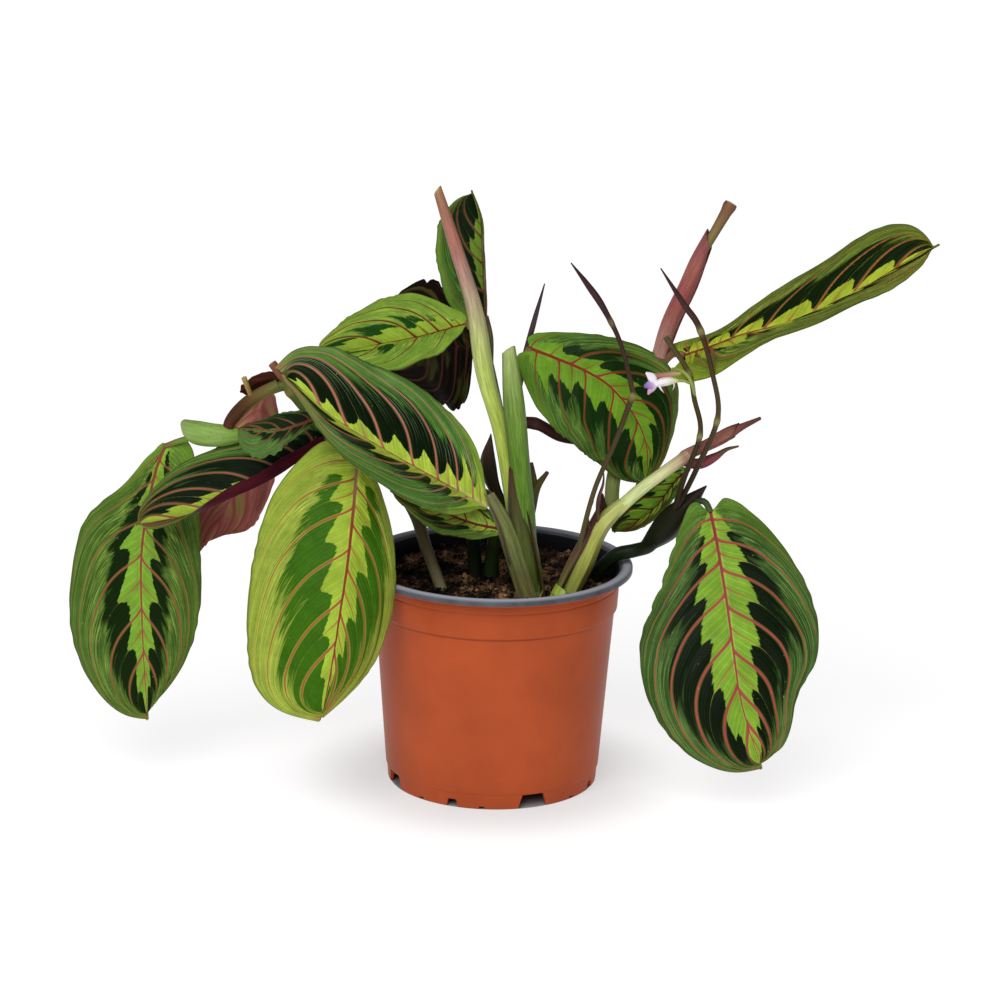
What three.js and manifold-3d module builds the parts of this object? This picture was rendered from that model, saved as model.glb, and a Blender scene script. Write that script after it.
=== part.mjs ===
// Potted prayer plant: fifteen patterned blades on four branching stems, rooted in the peat of a
// plastic nursery pot. Millimetres, +Z up, origin at the centre of the pot's base.
import * as THREE from 'three';
import { mergeVertices } from 'three/addons/utils/BufferGeometryUtils.js';
import Module from 'manifold-3d';

const wasm = await Module();
wasm.setup();

// Driving dimensions.
const potHeight = 98.7;
const rimRadius = 60;
const footRadius = 46;
const wall = 1.2;
const soilLevel = 88;
const soilRise = 3;
const clearance = 0.3;
const bladeThickness = 0.8;
const bladeRows = 12;
const bladeColumns = 6;
const stemSides = 7;
const stemStep = 15;

// Values spaced evenly from 0 to 1, read in between along straight lines.
function between(values, s) {
  const x = Math.min(Math.max(s, 0), 1) * (values.length - 1);
  const i = Math.min(Math.floor(x), values.length - 2);
  if (i < 0) return values[0];
  return values[i] + (values[i + 1] - values[i]) * (x - i);
}

function betweenDirections(list, s) {
  return new THREE.Vector3(...[0, 1, 2].map((axis) => between(list.map((d) => d[axis]), s))).normalize();
}

function smoothPath(points) {
  return new THREE.CatmullRomCurve3(points.map((p) => new THREE.Vector3(...p)), false, 'catmullrom', 0.5);
}

// Closed geometry to a solid, and a solid back to geometry.
function solid(geometry) {
  geometry.deleteAttribute('normal');
  geometry.deleteAttribute('uv');
  const merged = mergeVertices(geometry, 1e-4);
  const vertProperties = new Float32Array(merged.attributes.position.array);
  const corners = [];
  for (let i = 0; i < merged.index.count; i += 3) {
    const [a, b, c] = merged.index.array.slice(i, i + 3);
    if (a !== b && b !== c && c !== a) corners.push(a, b, c);
  }
  return new wasm.Manifold(new wasm.Mesh({ numProp: 3, vertProperties, triVerts: new Uint32Array(corners) }));
}

// A profile of [radius, height] points turned about the upright axis.
function turned(profile, segments) {
  const points = profile.map(([r, z]) => new THREE.Vector2(r, z));
  return new THREE.LatheGeometry(points, segments).rotateX(Math.PI / 2);
}

function surface(body) {
  const mesh = body.getMesh();
  const geometry = new THREE.BufferGeometry();
  geometry.setAttribute('position', new THREE.BufferAttribute(new Float32Array(mesh.vertProperties), 3));
  geometry.setIndex(new THREE.BufferAttribute(new Uint32Array(mesh.triVerts), 1));
  geometry.computeVertexNormals();
  return geometry;
}

function joined(bodies) {
  return bodies.reduce((sum, body) => sum.add(body));
}

// A round stem along a smooth path, its radius read from values spaced evenly along it. `extra` makes
// the same stem a little thicker and longer, to cut the hole it stands in.
function stem({ path, radius }, extra = 0) {
  const points = path.map((p) => new THREE.Vector3(...p));
  const last = points.length - 1;
  const start = points[0].clone().sub(points[1]).setLength(extra);
  const end = points[last].clone().sub(points[last - 1]).setLength(extra);
  points[0].add(start);
  points[last].add(end);
  const curve = new THREE.CatmullRomCurve3(points, false, 'catmullrom', 0.5);
  const steps = Math.max(path.length, Math.round(curve.getLength() / stemStep));
  const core = 0.25;
  const corners = [];
  for (let i = 0; i < stemSides; i++) {
    const angle = (2 * Math.PI * i) / stemSides;
    corners.push(new THREE.Vector2(core * Math.cos(angle), core * Math.sin(angle)));
  }
  const geometry = new THREE.ExtrudeGeometry(new THREE.Shape(corners), { steps, extrudePath: curve });
  const centres = curve.getSpacedPoints(steps);
  const position = geometry.attributes.position;
  const corner = new THREE.Vector3();
  for (let i = 0; i < position.count; i++) {
    corner.fromBufferAttribute(position, i);
    let near = 0;
    for (let k = 1; k <= steps; k++) {
      if (corner.distanceTo(centres[k]) < corner.distanceTo(centres[near])) near = k;
    }
    const grown = (between(radius, near / steps) + extra) / core;
    corner.sub(centres[near]).multiplyScalar(grown).add(centres[near]);
    position.setXYZ(i, corner.x, corner.y, corner.z);
  }
  return solid(geometry);
}

function stems(list, extra = 0) {
  return joined(list.map((one) => stem(one, extra)));
}

// Half width of a blade along it, as a share of its widest: rounded base, pointed round tip.
function bladeOutline(s) {
  const q = Math.min(s / 0.975, 1);
  return 2 * (q * (1 - q)) ** 0.45 / 2 ** 0.1;
}

// A point of the blade's middle surface and the direction its thickness is laid in. s runs from base
// to tip, t from one margin (-1) across the midrib (0) to the other (1).
function bladePoint(leaf, curve, length, s, t) {
  const side = t < 0 ? 0 : 1;
  const reach = Math.abs(t);
  const full = between(leaf.width[side], s) * bladeOutline(s);
  const tip = s > 0.9 ? 2.4 * Math.min(1, (1 - s) / 0.07) : 0;
  const arc = Math.max(full, tip, 0.5) * reach;
  const free = (1 - Math.exp(-s / 0.008)) * (1 - Math.exp((s - 1) / 0.02));
  const along = s * length + between(leaf.slide[side], s) * reach ** 1.5 * free;
  const u = Math.min(Math.max(along / length, 0), 1);
  const forward = curve.getTangentAt(u);
  const centre = curve.getPointAt(u).addScaledVector(forward, along - u * length);
  const across = new THREE.Vector3().crossVectors(betweenDirections(leaf.facing, u), forward).normalize();
  const normal = new THREE.Vector3().crossVectors(forward, across).normalize();
  const folds = leaf.fold.map((values) => THREE.MathUtils.degToRad(between(values, s)));
  const bend = THREE.MathUtils.degToRad(between(leaf.curl[side], s)) * Math.min(1, arc / full || 0);
  const turn = Math.abs(bend) < 1e-4 ? 1e-4 : bend;
  const out = (arc * (Math.sin(folds[side] + turn) - Math.sin(folds[side]))) / turn;
  const ripple = Math.sin(7 * Math.PI * s + leaf.phase + (t < 0 ? 1.7 : 0)) * Math.sqrt(Math.sin(Math.PI * s));
  const rise = (arc * (Math.cos(folds[side]) - Math.cos(folds[side] + turn))) / turn
    + leaf.wave * reach ** 2.5 * ripple;
  const point = centre.addScaledVector(across, Math.sign(t) * out).addScaledVector(normal, rise);
  const lean = (angle, sign) => normal.clone().multiplyScalar(Math.cos(angle))
    .addScaledVector(across, -sign * Math.sin(angle));
  if (t !== 0) return [point, lean(folds[side] + turn * reach, Math.sign(t))];
  const middle = lean(folds[0], -1).add(lean(folds[1], 1));
  const size = middle.length();
  return [point, middle.multiplyScalar(Math.min(1.8, 2 / size) / size)];
}

// A blade as one closed solid, both faces triangulated alike.
function blade(leaf) {
  const curve = smoothPath(leaf.midrib);
  const length = curve.getLength();
  const upper = [];
  const lower = [];
  for (let i = 0; i <= bladeRows; i++) {
    const s = 0.5 - 0.5 * Math.cos((Math.PI * i) / bladeRows);
    for (let j = 0; j <= bladeColumns; j++) {
      const [point, offset] = bladePoint(leaf, curve, length, s, (2 * j) / bladeColumns - 1);
      upper.push(...point.clone().addScaledVector(offset, bladeThickness / 2).toArray());
      lower.push(...point.clone().addScaledVector(offset, -bladeThickness / 2).toArray());
    }
  }
  const row = bladeColumns + 1;
  const under = row * (bladeRows + 1);
  const faces = [];
  const quad = (a, b, c, d) => faces.push(a, b, c, a, c, d);
  for (let i = 0; i < bladeRows; i++) {
    for (let j = 0; j < bladeColumns; j++) {
      const a = i * row + j;
      faces.push(a, a + row, a + 1, a + 1, a + row, a + row + 1);
      faces.push(a + under, a + 1 + under, a + row + under);
      faces.push(a + 1 + under, a + row + 1 + under, a + row + under);
    }
    const left = i * row;
    const right = left + bladeColumns;
    quad(left + row, left, left + under, left + row + under);
    quad(right, right + row, right + row + under, right + under);
  }
  for (let j = 0; j < bladeColumns; j++) {
    const far = bladeRows * row + j;
    quad(j, j + 1, j + 1 + under, j + under);
    quad(far + 1, far, far + under, far + 1 + under);
  }
  const geometry = new THREE.BufferGeometry();
  geometry.setAttribute('position', new THREE.BufferAttribute(new Float32Array([...upper, ...lower]), 3));
  geometry.setIndex(faces);
  return solid(geometry);
}

// The pot: an open beaker with a raised floor, a flat pad under its middle, a step below the rim and
// a rolled lip, its foot ring notched and its floor drilled.
function potBody() {
  const profile = [
    [0, 0], [17, 0], [18, 6.5], [44.2, 6.5], [44.8, 0], [footRadius, 0], [46.5, 6.5], [47, 7],
    [51.1, 61], [51.9, 74.5], [53.9, 77.5], [54.3, 90], [53.9, 90.5], [54.3, 91], [54.4, 95],
    [58.9, 95.9], [rimRadius, 95.5], [rimRadius, 97.6], [58.6, potHeight], [57.6, potHeight], [56, 98.2],
    [54.2, 96.6], [53.2, 94], [53.1, 90], [52.7, 78], [50.7, 74], [46, 8.2], [45.5, 7.7],
    [16.8, 7.7], [17 - wall, 1.2], [0, 1.2],
  ];
  return solid(turned(profile, 36));
}

// A cutter for one notch of the foot ring: wide at the floor, narrower above.
function footNotch(degrees, width, height) {
  const shape = new THREE.Shape([
    new THREE.Vector2(-width / 2, -1),
    new THREE.Vector2(width / 2, -1),
    new THREE.Vector2(width * 0.41, height),
    new THREE.Vector2(-width * 0.41, height),
  ]);
  const geometry = new THREE.ExtrudeGeometry(shape, { depth: 8, bevelEnabled: false });
  geometry.rotateX(Math.PI / 2).translate(0, 49.5, 0);
  return solid(geometry.rotateZ(THREE.MathUtils.degToRad(degrees - 90)));
}

function pot() {
  let body = potBody();
  for (let quarter = 0; quarter < 4; quarter++) {
    const angle = 90 * quarter;
    body = body.subtract(footNotch(angle - 67, 14, 6.2));
    body = body.subtract(footNotch(angle - 41, 3, 1.2));
    body = body.subtract(footNotch(angle - 21.5, 5.5, 3.5));
    body = body.subtract(footNotch(angle - 5, 3, 1.2));
  }
  for (let i = 0; i < 8; i++) {
    const hole = new THREE.CylinderGeometry(3.5, 3.5, 6, 10).rotateX(Math.PI / 2).translate(32, 0, 7);
    body = body.subtract(solid(hole.rotateZ((Math.PI * (i + 0.5)) / 4)));
  }
  return body;
}

// The peat's surface rises a little towards the back and is lumpy.
function soilHeight(x, y) {
  const back = Math.min(Math.max(y / 45, 0), 1);
  const lumps = 0.5 * Math.sin(0.31 * x + 1) * Math.cos(0.27 * y) + 0.35 * Math.sin(0.53 * y - 0.4 * x);
  return soilLevel + soilRise * back * back * (3 - 2 * back) + lumps;
}

// Bark chips, each a small rough block pressed into the surface at a place from a repeatable run of
// numbers, kept off the pot's wall.
function barkChips(count) {
  let state = 71;
  const next = () => {
    state = (state * 16807) % 2147483647;
    return state / 2147483647;
  };
  const chips = [];
  for (let i = 0; i < count; i++) {
    const angle = 2 * Math.PI * next();
    const radius = 46 * Math.sqrt(next());
    const [x, y] = [radius * Math.cos(angle), radius * Math.sin(angle)];
    const chip = new THREE.BoxGeometry(3 + 5 * next(), 2 + 3 * next(), 1.2 + 1.2 * next());
    chip.rotateX(0.5 * next() - 0.25).rotateY(0.6 * next() - 0.3).rotateZ(Math.PI * next());
    chips.push(solid(chip.translate(x, y, soilHeight(x, y) + 0.5 * next())));
  }
  return chips;
}

// Peat filling the pot to its walls with a small gap, its chips and loose root fibres.
function soil() {
  const profile = [
    [0, 1.5], [15.4, 1.5], [16.3, 8], [45.2, 8], [45.5, 8.6], [50.2, 74], [52.2, 78.2], [52.5, 86.5],
    [47, soilLevel], [39, soilLevel], [31, soilLevel], [23, soilLevel], [15, soilLevel], [7, soilLevel],
    [0, soilLevel],
  ];
  const geometry = turned(profile, 24);
  const position = geometry.attributes.position;
  for (let i = 0; i < position.count; i++) {
    const height = position.getZ(i);
    if (height < 80) continue;
    const relief = soilHeight(position.getX(i), position.getY(i)) - soilLevel;
    position.setZ(i, height + relief);
  }
  return joined([solid(geometry), ...barkChips(14), ...rootFibres.map((fibre) => stem(fibre))]);
}

const rootFibres = [
  { path: [[1, -29, 87], [4, -27, 90], [8, -25, 89.5], [11, -24, 86]], radius: [0.5, 0.6, 0.7, 0.5] },
  { path: [[22, -16, 87], [23, -18, 90.5], [22, -20, 87]], radius: [0.5, 0.6, 0.5] },
  { path: [[-18, -20, 87], [-14, -22, 90], [-9, -21, 87]], radius: [0.5, 0.5, 0.4] },
];

// The old petiole on the left, its branch with the rolled sheath, and the stalks of seven blades.
const leftStem = [
  { path: [[-21, -9, 76], [-23, -7, 86], [-30, -4, 104], [-35, -2, 119], [-42, -2, 130], [-53, -3, 140],
    [-66, -6, 151], [-81, -8, 166], [-91, -8, 178]], radius: [3.2, 3.4, 3.3, 3.2, 3, 3, 3, 2.8, 2.6] },
  { path: [[-91, -8, 178], [-100, -8, 174], [-108, -8, 168], [-114, -8, 162], [-116, -8, 156]],
    radius: [2.6, 2.4, 2.2, 2.4, 2.6] },
  { path: [[-111, -8, 155], [-123, -8, 155], [-134, -8, 157]], radius: [4.2, 5.2, 5.6] },
  { path: [[-91, -8, 179], [-98, -8, 189]], radius: [2.2, 1.9] },
  { path: [[-105, -9, 170], [-109, -10, 181]], radius: [1, 1.2] },
  { path: [[-53, -3, 140], [-57, -14, 147], [-59, -27, 153], [-59, -34, 154]], radius: [1.6, 1.4, 1.3, 1.2] },
  { path: [[-70, -7, 155], [-72, -11, 156], [-74, -14, 155]], radius: [1.6, 1.4, 1.2] },
  { path: [[-78, -8, 163], [-77, -15, 167], [-77, -22, 167]], radius: [1.4, 1.2, 1] },
  { path: [[-103, -8, 174], [-103, 0, 173], [-102, 8, 168]], radius: [1.4, 1.2, 1] },
  { path: [[-126, -8, 156], [-137, -3, 154], [-144, 2, 147]], radius: [2, 1.7, 1.4] },
];

// Hollow of the rolled sheath's open end.
const sheathHollow = { path: [[-122, -8, 155.3], [-130, -8, 156.2], [-138, -8, 158]], radius: [2.2, 3.8, 4.6] };

// The crown in the middle: the tall petiole, the cut stub in its sheath and the ridged low stem.
const centreStems = [
  { path: [[18, -22, 76], [14, -18, 87], [10, -13, 110], [6, -5, 131], [1, 0, 157], [-6, 3, 181],
    [-11, 4, 209], [-19, 4, 235], [-27.5, 4, 261]], radius: [3.2, 3.2, 3.3, 3.3, 3.6, 4.1, 3.4, 2.9, 2] },
  { path: [[20, -18, 76], [17, -17, 87], [13, -14, 112], [10, -10, 142], [7, -7, 168], [4, -5, 194]],
    radius: [4, 4, 4.8, 4.3, 4.5, 2.9] },
  { path: [[17, -17, 87], [12, -16, 110], [8, -13, 130], [6, -12, 143]], radius: [3.6, 5.2, 4.2, 1.2] },
  { path: [[18, -22, 77], [15, -20, 86], [10, -19, 101], [4, -18, 119], [-3, -17, 133]],
    radius: [4, 4, 4, 3.6, 2.6] },
];

// The stem behind the crown with its curled sheath, forked stub, side stalk, spear and four petioles.
const backStem = [
  { path: [[13, 14, 76], [11, 14, 87], [7, 13, 122], [2, 12, 154], [-2, 13, 174], [-5, 16, 187]],
    radius: [3, 3, 3, 2.6, 2, 1.6] },
  { path: [[6, 13, 116], [0, 10, 126], [-4, 9, 139], [-4, 9, 152]], radius: [2, 2.5, 3.5, 1.6] },
  { path: [[9, 14, 102], [14, 14, 114], [17, 14, 127], [22, 14, 135]], radius: [2, 2.4, 2.2, 1.4] },
  { path: [[17, 14, 127], [16, 14, 133], [15, 14, 139]], radius: [1.6, 1.3, 0.8] },
  { path: [[3, 12, 157], [16, 14, 157], [27, 16, 151], [38, 20, 148]], radius: [2.8, 2.6, 2.4, 2.2] },
  { path: [[2, 12, 152], [7, 12, 166], [10, 11, 180], [13, 8, 192]], radius: [1.8, 1.6, 1.5, 1.3] },
  { path: [[8, 12, 168], [10, 14, 182], [14, 14, 199], [19, 14, 219]], radius: [1.2, 1.2, 1.2, 0.3] },
  { path: [[-3, 14, 178], [-8, 15, 192], [-14, 13, 202]], radius: [1.7, 1.4, 1.2] },
  { path: [[-4, 15, 182], [-4, 22, 193], [-6, 28, 201]], radius: [1.6, 1.4, 1.2] },
  { path: [[-3, 14, 175], [-6, 24, 183], [-11, 32, 187]], radius: [1.6, 1.4, 1.2] },
];

// The thick green stem on the right, its pale branch, two cut tips, flower stalk and pink sheath.
const rightStem = [
  { path: [[27, -20, 76], [31, -15, 86], [38, -9, 102], [44, -4, 114], [50, -1, 124]],
    radius: [3.6, 3.8, 5.2, 4.6, 3.4] },
  { path: [[48, -1, 118], [62, -2, 132], [83, -3, 149]], radius: [3, 2.7, 2.6] },
  { path: [[82, -3, 149], [96, -3, 156], [113, -3, 166]], radius: [2.4, 2.6, 0.6] },
  { path: [[79, -3, 146], [91, -2, 144], [101, -2, 152]], radius: [1.8, 2.2, 0.5] },
  { path: [[50, 1, 121], [51, 11, 134], [56, 20, 152], [63, 20, 169], [69, 16, 188]],
    radius: [3.2, 3.2, 3, 3, 3.4] },
  { path: [[69, 16, 187], [74.5, 14, 206], [80.5, 12, 219], [85, 11, 231], [90, 10, 242]],
    radius: [3.3, 3.9, 4, 3.7, 2.6] },
  { path: [[87, 10, 236], [92.5, 10, 246], [98, 10, 256.5]], radius: [2, 2.2, 2.7] },
  { path: [[35, -11, 103], [42, -9, 133], [51, -8, 156], [58, -8, 177]], radius: [1.2, 1.1, 1.1, 1.3] },
  { path: [[58, -8, 176], [52, -8, 198], [44, -8, 214], [37, -8, 224], [30, -8, 233]],
    radius: [1.2, 1, 1.1, 1.5, 0.3] },
  { path: [[69, 17, 182], [75, 14, 189], [80, 8, 190]], radius: [2.2, 1.7, 1.4] },
  { path: [[82, -3, 148], [84, 5, 146], [83.5, 13, 137.5]], radius: [1.6, 1.3, 1.1] },
];

// The dark stem that leans out over the rim, its swollen sheath and two thin jointed stalks.
const hangingStem = [
  { path: [[40, 8, 78], [42, 7, 87], [47, 3, 96], [53, -1, 102.4], [60, -2, 104.5], [66, 3, 105],
    [70, 8, 108]], radius: [3, 3, 3, 3, 3, 3, 3.4] },
  { path: [[66, 8, 104], [73, 6, 112], [81, 4, 122], [91, 3, 133]], radius: [3, 6, 4.4, 0.4] },
  { path: [[77, 2, 121], [81, -8, 140], [87, -10, 160], [84, -10, 175], [81, -10, 187], [71, -10, 202]],
    radius: [1.2, 1.2, 1.1, 1.1, 1.1, 1.3] },
  { path: [[78, 2, 122], [86, -9, 144], [94, -11, 168], [91, -11, 188], [85, -11, 207], [78, -11, 217],
    [68, -11, 232]], radius: [1.2, 1.2, 1.2, 1.1, 1.1, 1.4, 0.3] },
  { path: [[84, -10, 176], [83, -11, 181], [81, -12, 185.5], [78, -12, 188], [74, -12, 189]],
    radius: [0.9, 0.8, 0.8, 0.8, 0.4] },
  { path: [[82.5, -11, 182], [79, -12, 183.6], [76.6, -12, 183.6]], radius: [0.6, 0.6, 0.6] },
  { path: [[83, 4, 125], [90, 0, 127], [93, -2, 123]], radius: [1.8, 1.5, 1.2] },
];

const stubLeft = [{ path: [[-9, 10, 76], [-9, 11, 88], [-10, 12, 106]], radius: [3.1, 3.1, 3] }];
const stubRight = [{ path: [[-2, 11, 76], [-2, 12, 88], [-1, 12, 107]], radius: [3.3, 3.3, 2.4] }];

// One open flower and a faded bud beside it.
const flowerPieces = [
  { path: [[76.5, -12, 183.6], [72, -12.5, 183.5], [67, -13, 182.3]], radius: [0.9, 2.2, 1.6] },
  { path: [[67, -13, 183], [65, -13.5, 185.5], [63, -14, 187.2]], radius: [1, 1.7, 0.9] },
  { path: [[67, -13, 182], [64.5, -14, 181.8], [62.5, -15, 181.5]], radius: [1.3, 1.8, 0.9] },
  { path: [[67, -13, 182], [65, -14, 180], [64, -15, 178.3]], radius: [1, 1.4, 0.8] },
  { path: [[77.6, -11.5, 187], [71, -12, 186], [66.7, -12.5, 185.7]], radius: [0.7, 0.9, 1] },
];

// The blades. Each has its midrib's points from base to tip, the directions its upper face looks in,
// and for its two sides the slope at the midrib, the further turn of the margin (degrees), the half
// width (mm) and how far the margin slides towards the tip (mm), each spaced evenly from base to tip.
const leaves = {
  leaf_front_right: {
    midrib: [[93, -2, 123], [96, -11, 110], [100, -23, 89], [103, -32, 70], [107, -40, 48],
      [116, -46, 21]],
    facing: [[0.05, -0.92, 0.38], [0, -0.95, 0.3]],
    fold: [[8, 0, 0], [8, 0, 0]],
    curl: [[-15, -10], [-15, -12]],
    width: [[21, 29, 39, 41, 39, 35], [24, 32, 38, 38, 30, 30]],
    slide: [[-9, 0, 5, 5, 4, 4], [-8, -7, -2, -2, -1, 1]],
    wave: 1.1,
    phase: 0.4,
    colour: '#1f4a1c',
  },
  leaf_front_left: {
    midrib: [[-59, -34, 154], [-60, -45, 137], [-62, -56, 114], [-65, -63, 92], [-68, -67, 71],
      [-72, -69, 49]],
    facing: [[-0.05, -0.9, 0.42], [0, -0.95, 0.3]],
    fold: [[6, 0, 0], [-8, -22, -24, -16]],
    curl: [[-15, -10], [-40, -40]],
    width: [[42, 43, 41, 40, 42, 48], [20, 26, 29, 27, 19, 1]],
    slide: [[-10, -1, 5, 10, 12, 7], [3, 10, 13, 15, 10, 4]],
    wave: 1,
    phase: 2.1,
    colour: '#86b52a',
  },
  leaf_far_left: {
    midrib: [[-144, 2, 147], [-148, 0, 136], [-152, -4, 117], [-154, -8, 96], [-153, -13, 63],
      [-151, -16, 28]],
    facing: [[-0.2, -0.93, 0.3], [-0.1, -0.96, 0.26]],
    fold: [[10, 5, 0], [10, 5, 0]],
    curl: [[-25, -20], [-25, -25]],
    width: [[5, 14, 28, 34, 39, 37], [25, 25, 26, 27, 27, 22]],
    slide: [[-3, -6, -11, -9, -2, 5], [-9, -8, -7, -9, -8, -6]],
    wave: 1,
    phase: 4,
    colour: '#3c7a26',
  },
  leaf_front_dark: {
    midrib: [[-4, -17, 127], [-24, -27, 141], [-47, -34, 156], [-68, -37, 170], [-83, -36, 183],
      [-91, -32, 188]],
    facing: [[0.05, -0.8, 0.6], [0.05, -0.8, 0.6], [-0.1, -0.8, 0.6]],
    fold: [[15, 15, 10], [45, 58, 58, 50]],
    curl: [[-20, -40], [-20, -20]],
    width: [[34, 31, 33, 33, 33, 38], [18, 33, 41, 37, 18, 5]],
    slide: [[5, 0, -1, 5, 8, 11], [7, 6, -2, 1, -1, 4]],
    wave: 0.9,
    phase: 1.2,
    colour: '#2c5a22',
  },
  leaf_low_centre: {
    midrib: [[1, -18, 118], [-11, -23, 122], [-28, -28, 130], [-45, -32, 138]],
    facing: [[0.1, -0.75, 0.65]],
    fold: [[10, 10], [10, 10]],
    curl: [[-20, -20], [-30, -30]],
    width: [[12, 14, 14, 13, 12, 12], [6, 8, 9, 10, 7, 6]],
    slide: [[-3, 0, 0, 0, 0, 0], [-3, 0, 0, 0, 0, 0]],
    wave: 0.6,
    phase: 0.5,
    colour: '#6f9f2a',
  },
  leaf_upper_left: {
    midrib: [[-14, 14, 201], [-23, 14, 198], [-35, 12, 195], [-48, 9, 193], [-62, 6, 191],
      [-77, 5, 190]],
    facing: [[0.05, -0.35, 0.93]],
    fold: [[52, 50], [25, 20]],
    curl: [[-25, -20], [-40, -40]],
    width: [[14, 24, 20, 17, 13, 8], [8, 13, 17, 21, 26, 30]],
    slide: [[-2, 6, 7, 7, 6, 3], [1, -6, -8, -8, -5, -2]],
    wave: 0.8,
    phase: 3,
    colour: '#7fb02c',
  },
  leaf_top: {
    midrib: [[-6, 28, 201], [-7, 26, 216], [-8, 23, 232], [-9, 20, 246], [-13, 16, 259]],
    facing: [[-0.3, -0.93, 0.2]],
    fold: [[60, 60], [15, 5]],
    curl: [[20, 20], [-25, -25]],
    width: [[14, 14, 14, 14, 14, 14], [26, 23, 22, 22, 22, 21]],
    slide: [[-3, 0, 0, 0, 0, 0], [-4, -1, 1, 1, 0, 0]],
    wave: 0.7,
    phase: 5.1,
    colour: '#4f8f2c',
  },
  leaf_rear_dark: {
    midrib: [[-11, 32, 187], [-21, 37, 186], [-33, 43, 185], [-46, 50, 184], [-60, 57, 184]],
    facing: [[-0.1, 0.93, 0.1]],
    fold: [[0, 0], [0, 0]],
    curl: [[20, 20], [20, 20]],
    width: [[27, 33, 35, 31, 27, 23], [18, 27, 30, 26, 21, 16]],
    slide: [[3, -1, -5, -6, -2, 2], [-1, -2, -2, -1, 0, 1]],
    wave: 0.6,
    phase: 0.9,
    colour: '#3a1f1e',
  },
  leaf_left_folded: {
    midrib: [[-74, -14, 155], [-94, -20, 141], [-113, -24, 132], [-133, -27, 124], [-154, -28, 120]],
    facing: [[-0.05, -0.8, 0.6]],
    fold: [[8, 8], [125, 125, 120, 60, 15]],
    curl: [[-30, -30], [20, 20, 10, -10]],
    width: [[28, 25, 25, 26, 23, 17], [7, 7, 6, 7, 10, 10]],
    slide: [[-16, -5, 3, 8, 7, 1], [-3, 0, 0, 0, 0, 0]],
    wave: 0.5,
    phase: 2.6,
    colour: '#2d5a26',
  },
  leaf_left_curled: {
    midrib: [[-77, -22, 167], [-84, -26, 165], [-94, -29, 163], [-109, -30, 164]],
    facing: [[0, -0.85, 0.5]],
    fold: [[20, 20], [10, 10]],
    curl: [[-20, -20], [-40, -40]],
    width: [[7, 7, 7, 7, 5, 4], [2, 4, 6, 11, 16, 15]],
    slide: [[-3, -1, 0, -2, -1, 0], [0, 1, 1, -1, 1, 3]],
    wave: 0.7,
    phase: 3.7,
    colour: '#3f7a3a',
  },
  leaf_left_small: {
    midrib: [[-91, -6, 179], [-100, -4, 179], [-108, -3, 176]],
    facing: [[0.1, 0.95, 0.2]],
    fold: [[10, 10], [10, 10]],
    curl: [[20, 20], [20, 20]],
    width: [[9, 9, 10, 10, 10, 10], [4, 4, 3, 3, 3, 3]],
    slide: [[-3, 0, 0, 0, 0, 0], [-3, 0, 0, 0, 0, 0]],
    wave: 0.3,
    phase: 0,
    colour: '#4a2a1c',
  },
  leaf_left_rear: {
    midrib: [[-102, 8, 168], [-105, 12, 151], [-111, 15, 133], [-119, 16, 115], [-128, 14, 99]],
    facing: [[0.1, 0.95, -0.2]],
    fold: [[0, 0], [0, 0]],
    curl: [[20, 20], [20, 20]],
    width: [[13, 11, 14, 15, 17, 14], [11, 14, 16, 18, 16, 14]],
    slide: [[-5, 1, 4, 3, -1, -7], [-2, 1, 4, 7, 8, 9]],
    wave: 0.7,
    phase: 1.6,
    colour: '#8c4a3c',
  },
  leaf_right_centre: {
    midrib: [[13, 8, 192], [25, 6, 188], [38, 4, 183], [49, 3, 176], [60, 4, 162], [65, 5, 148],
      [65, 7, 132]],
    facing: [[0.1, -0.92, 0.35], [0.2, -0.95, 0.2]],
    fold: [[8, 5], [8, 5]],
    curl: [[-20, -25], [-25, -30]],
    width: [[17, 28, 30, 29, 31, 37], [14, 15, 20, 27, 16, 1]],
    slide: [[-6, -5, -5, -2, 1, 2], [-4, -6, -4, -2, 0, 4]],
    wave: 0.9,
    phase: 0.2,
    colour: '#2f6b28',
  },
  leaf_right_low: {
    midrib: [[84, 14, 137], [79, 17, 132], [71, 18, 120], [62, 16, 113], [52, 12, 109]],
    facing: [[0.1, -0.85, -0.3]],
    fold: [[0, 0], [65, 65]],
    curl: [[-30, -30], [-10, -10]],
    width: [[11, 12, 14, 14, 16, 12], [5, 5, 5, 5, 5, 5]],
    slide: [[0, 1, 1, 1, 2, 3], [3, 1, -1, -2, -3, -1]],
    wave: 0.4,
    phase: 2.2,
    colour: '#4f8f2e',
  },
  leaf_far_right: {
    midrib: [[80, 8, 190], [92, 5, 195], [104, 1, 201], [121, -3, 207], [137, -7, 215],
      [157, -10, 227], [173, -12, 238], [185, -13, 245]],
    facing: [[-0.45, -0.3, 0.8]],
    fold: [[0, 12, 30, 28, 15, 5], [12, 15, 18, 22, 26, 30]],
    curl: [[-20, -20], [-30, -30]],
    width: [[34, 27, 23, 23, 18, 22], [29, 12, 25, 32, 32, 26]],
    slide: [[-12, -6, -1, 3, 3, -4], [-16, -15, -6, 4, 10, -1]],
    wave: 0.8,
    phase: 4.6,
    colour: '#34702a',
  },
};

// Every node's solid by its name. Stems keep a clear gap to the peat and to the blades they carry.
const stemGroups = {
  left_stem: leftStem,
  centre_stems: centreStems,
  back_stem: backStem,
  right_stem: rightStem,
  hanging_stem: hangingStem,
  back_stub_left: stubLeft,
  back_stub_right: stubRight,
};
const holes = joined(Object.values(stemGroups).map((list) => stems(list, clearance)));
const bodies = {
  pot: pot(),
  soil: soil().subtract(holes),
  flower: stems(flowerPieces).subtract(holes),
};
for (const [name, list] of Object.entries(stemGroups)) bodies[name] = stems(list);
bodies.left_stem = bodies.left_stem.subtract(stem(sheathHollow));
for (const [name, leaf] of Object.entries(leaves)) bodies[name] = blade(leaf).subtract(holes);

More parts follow.
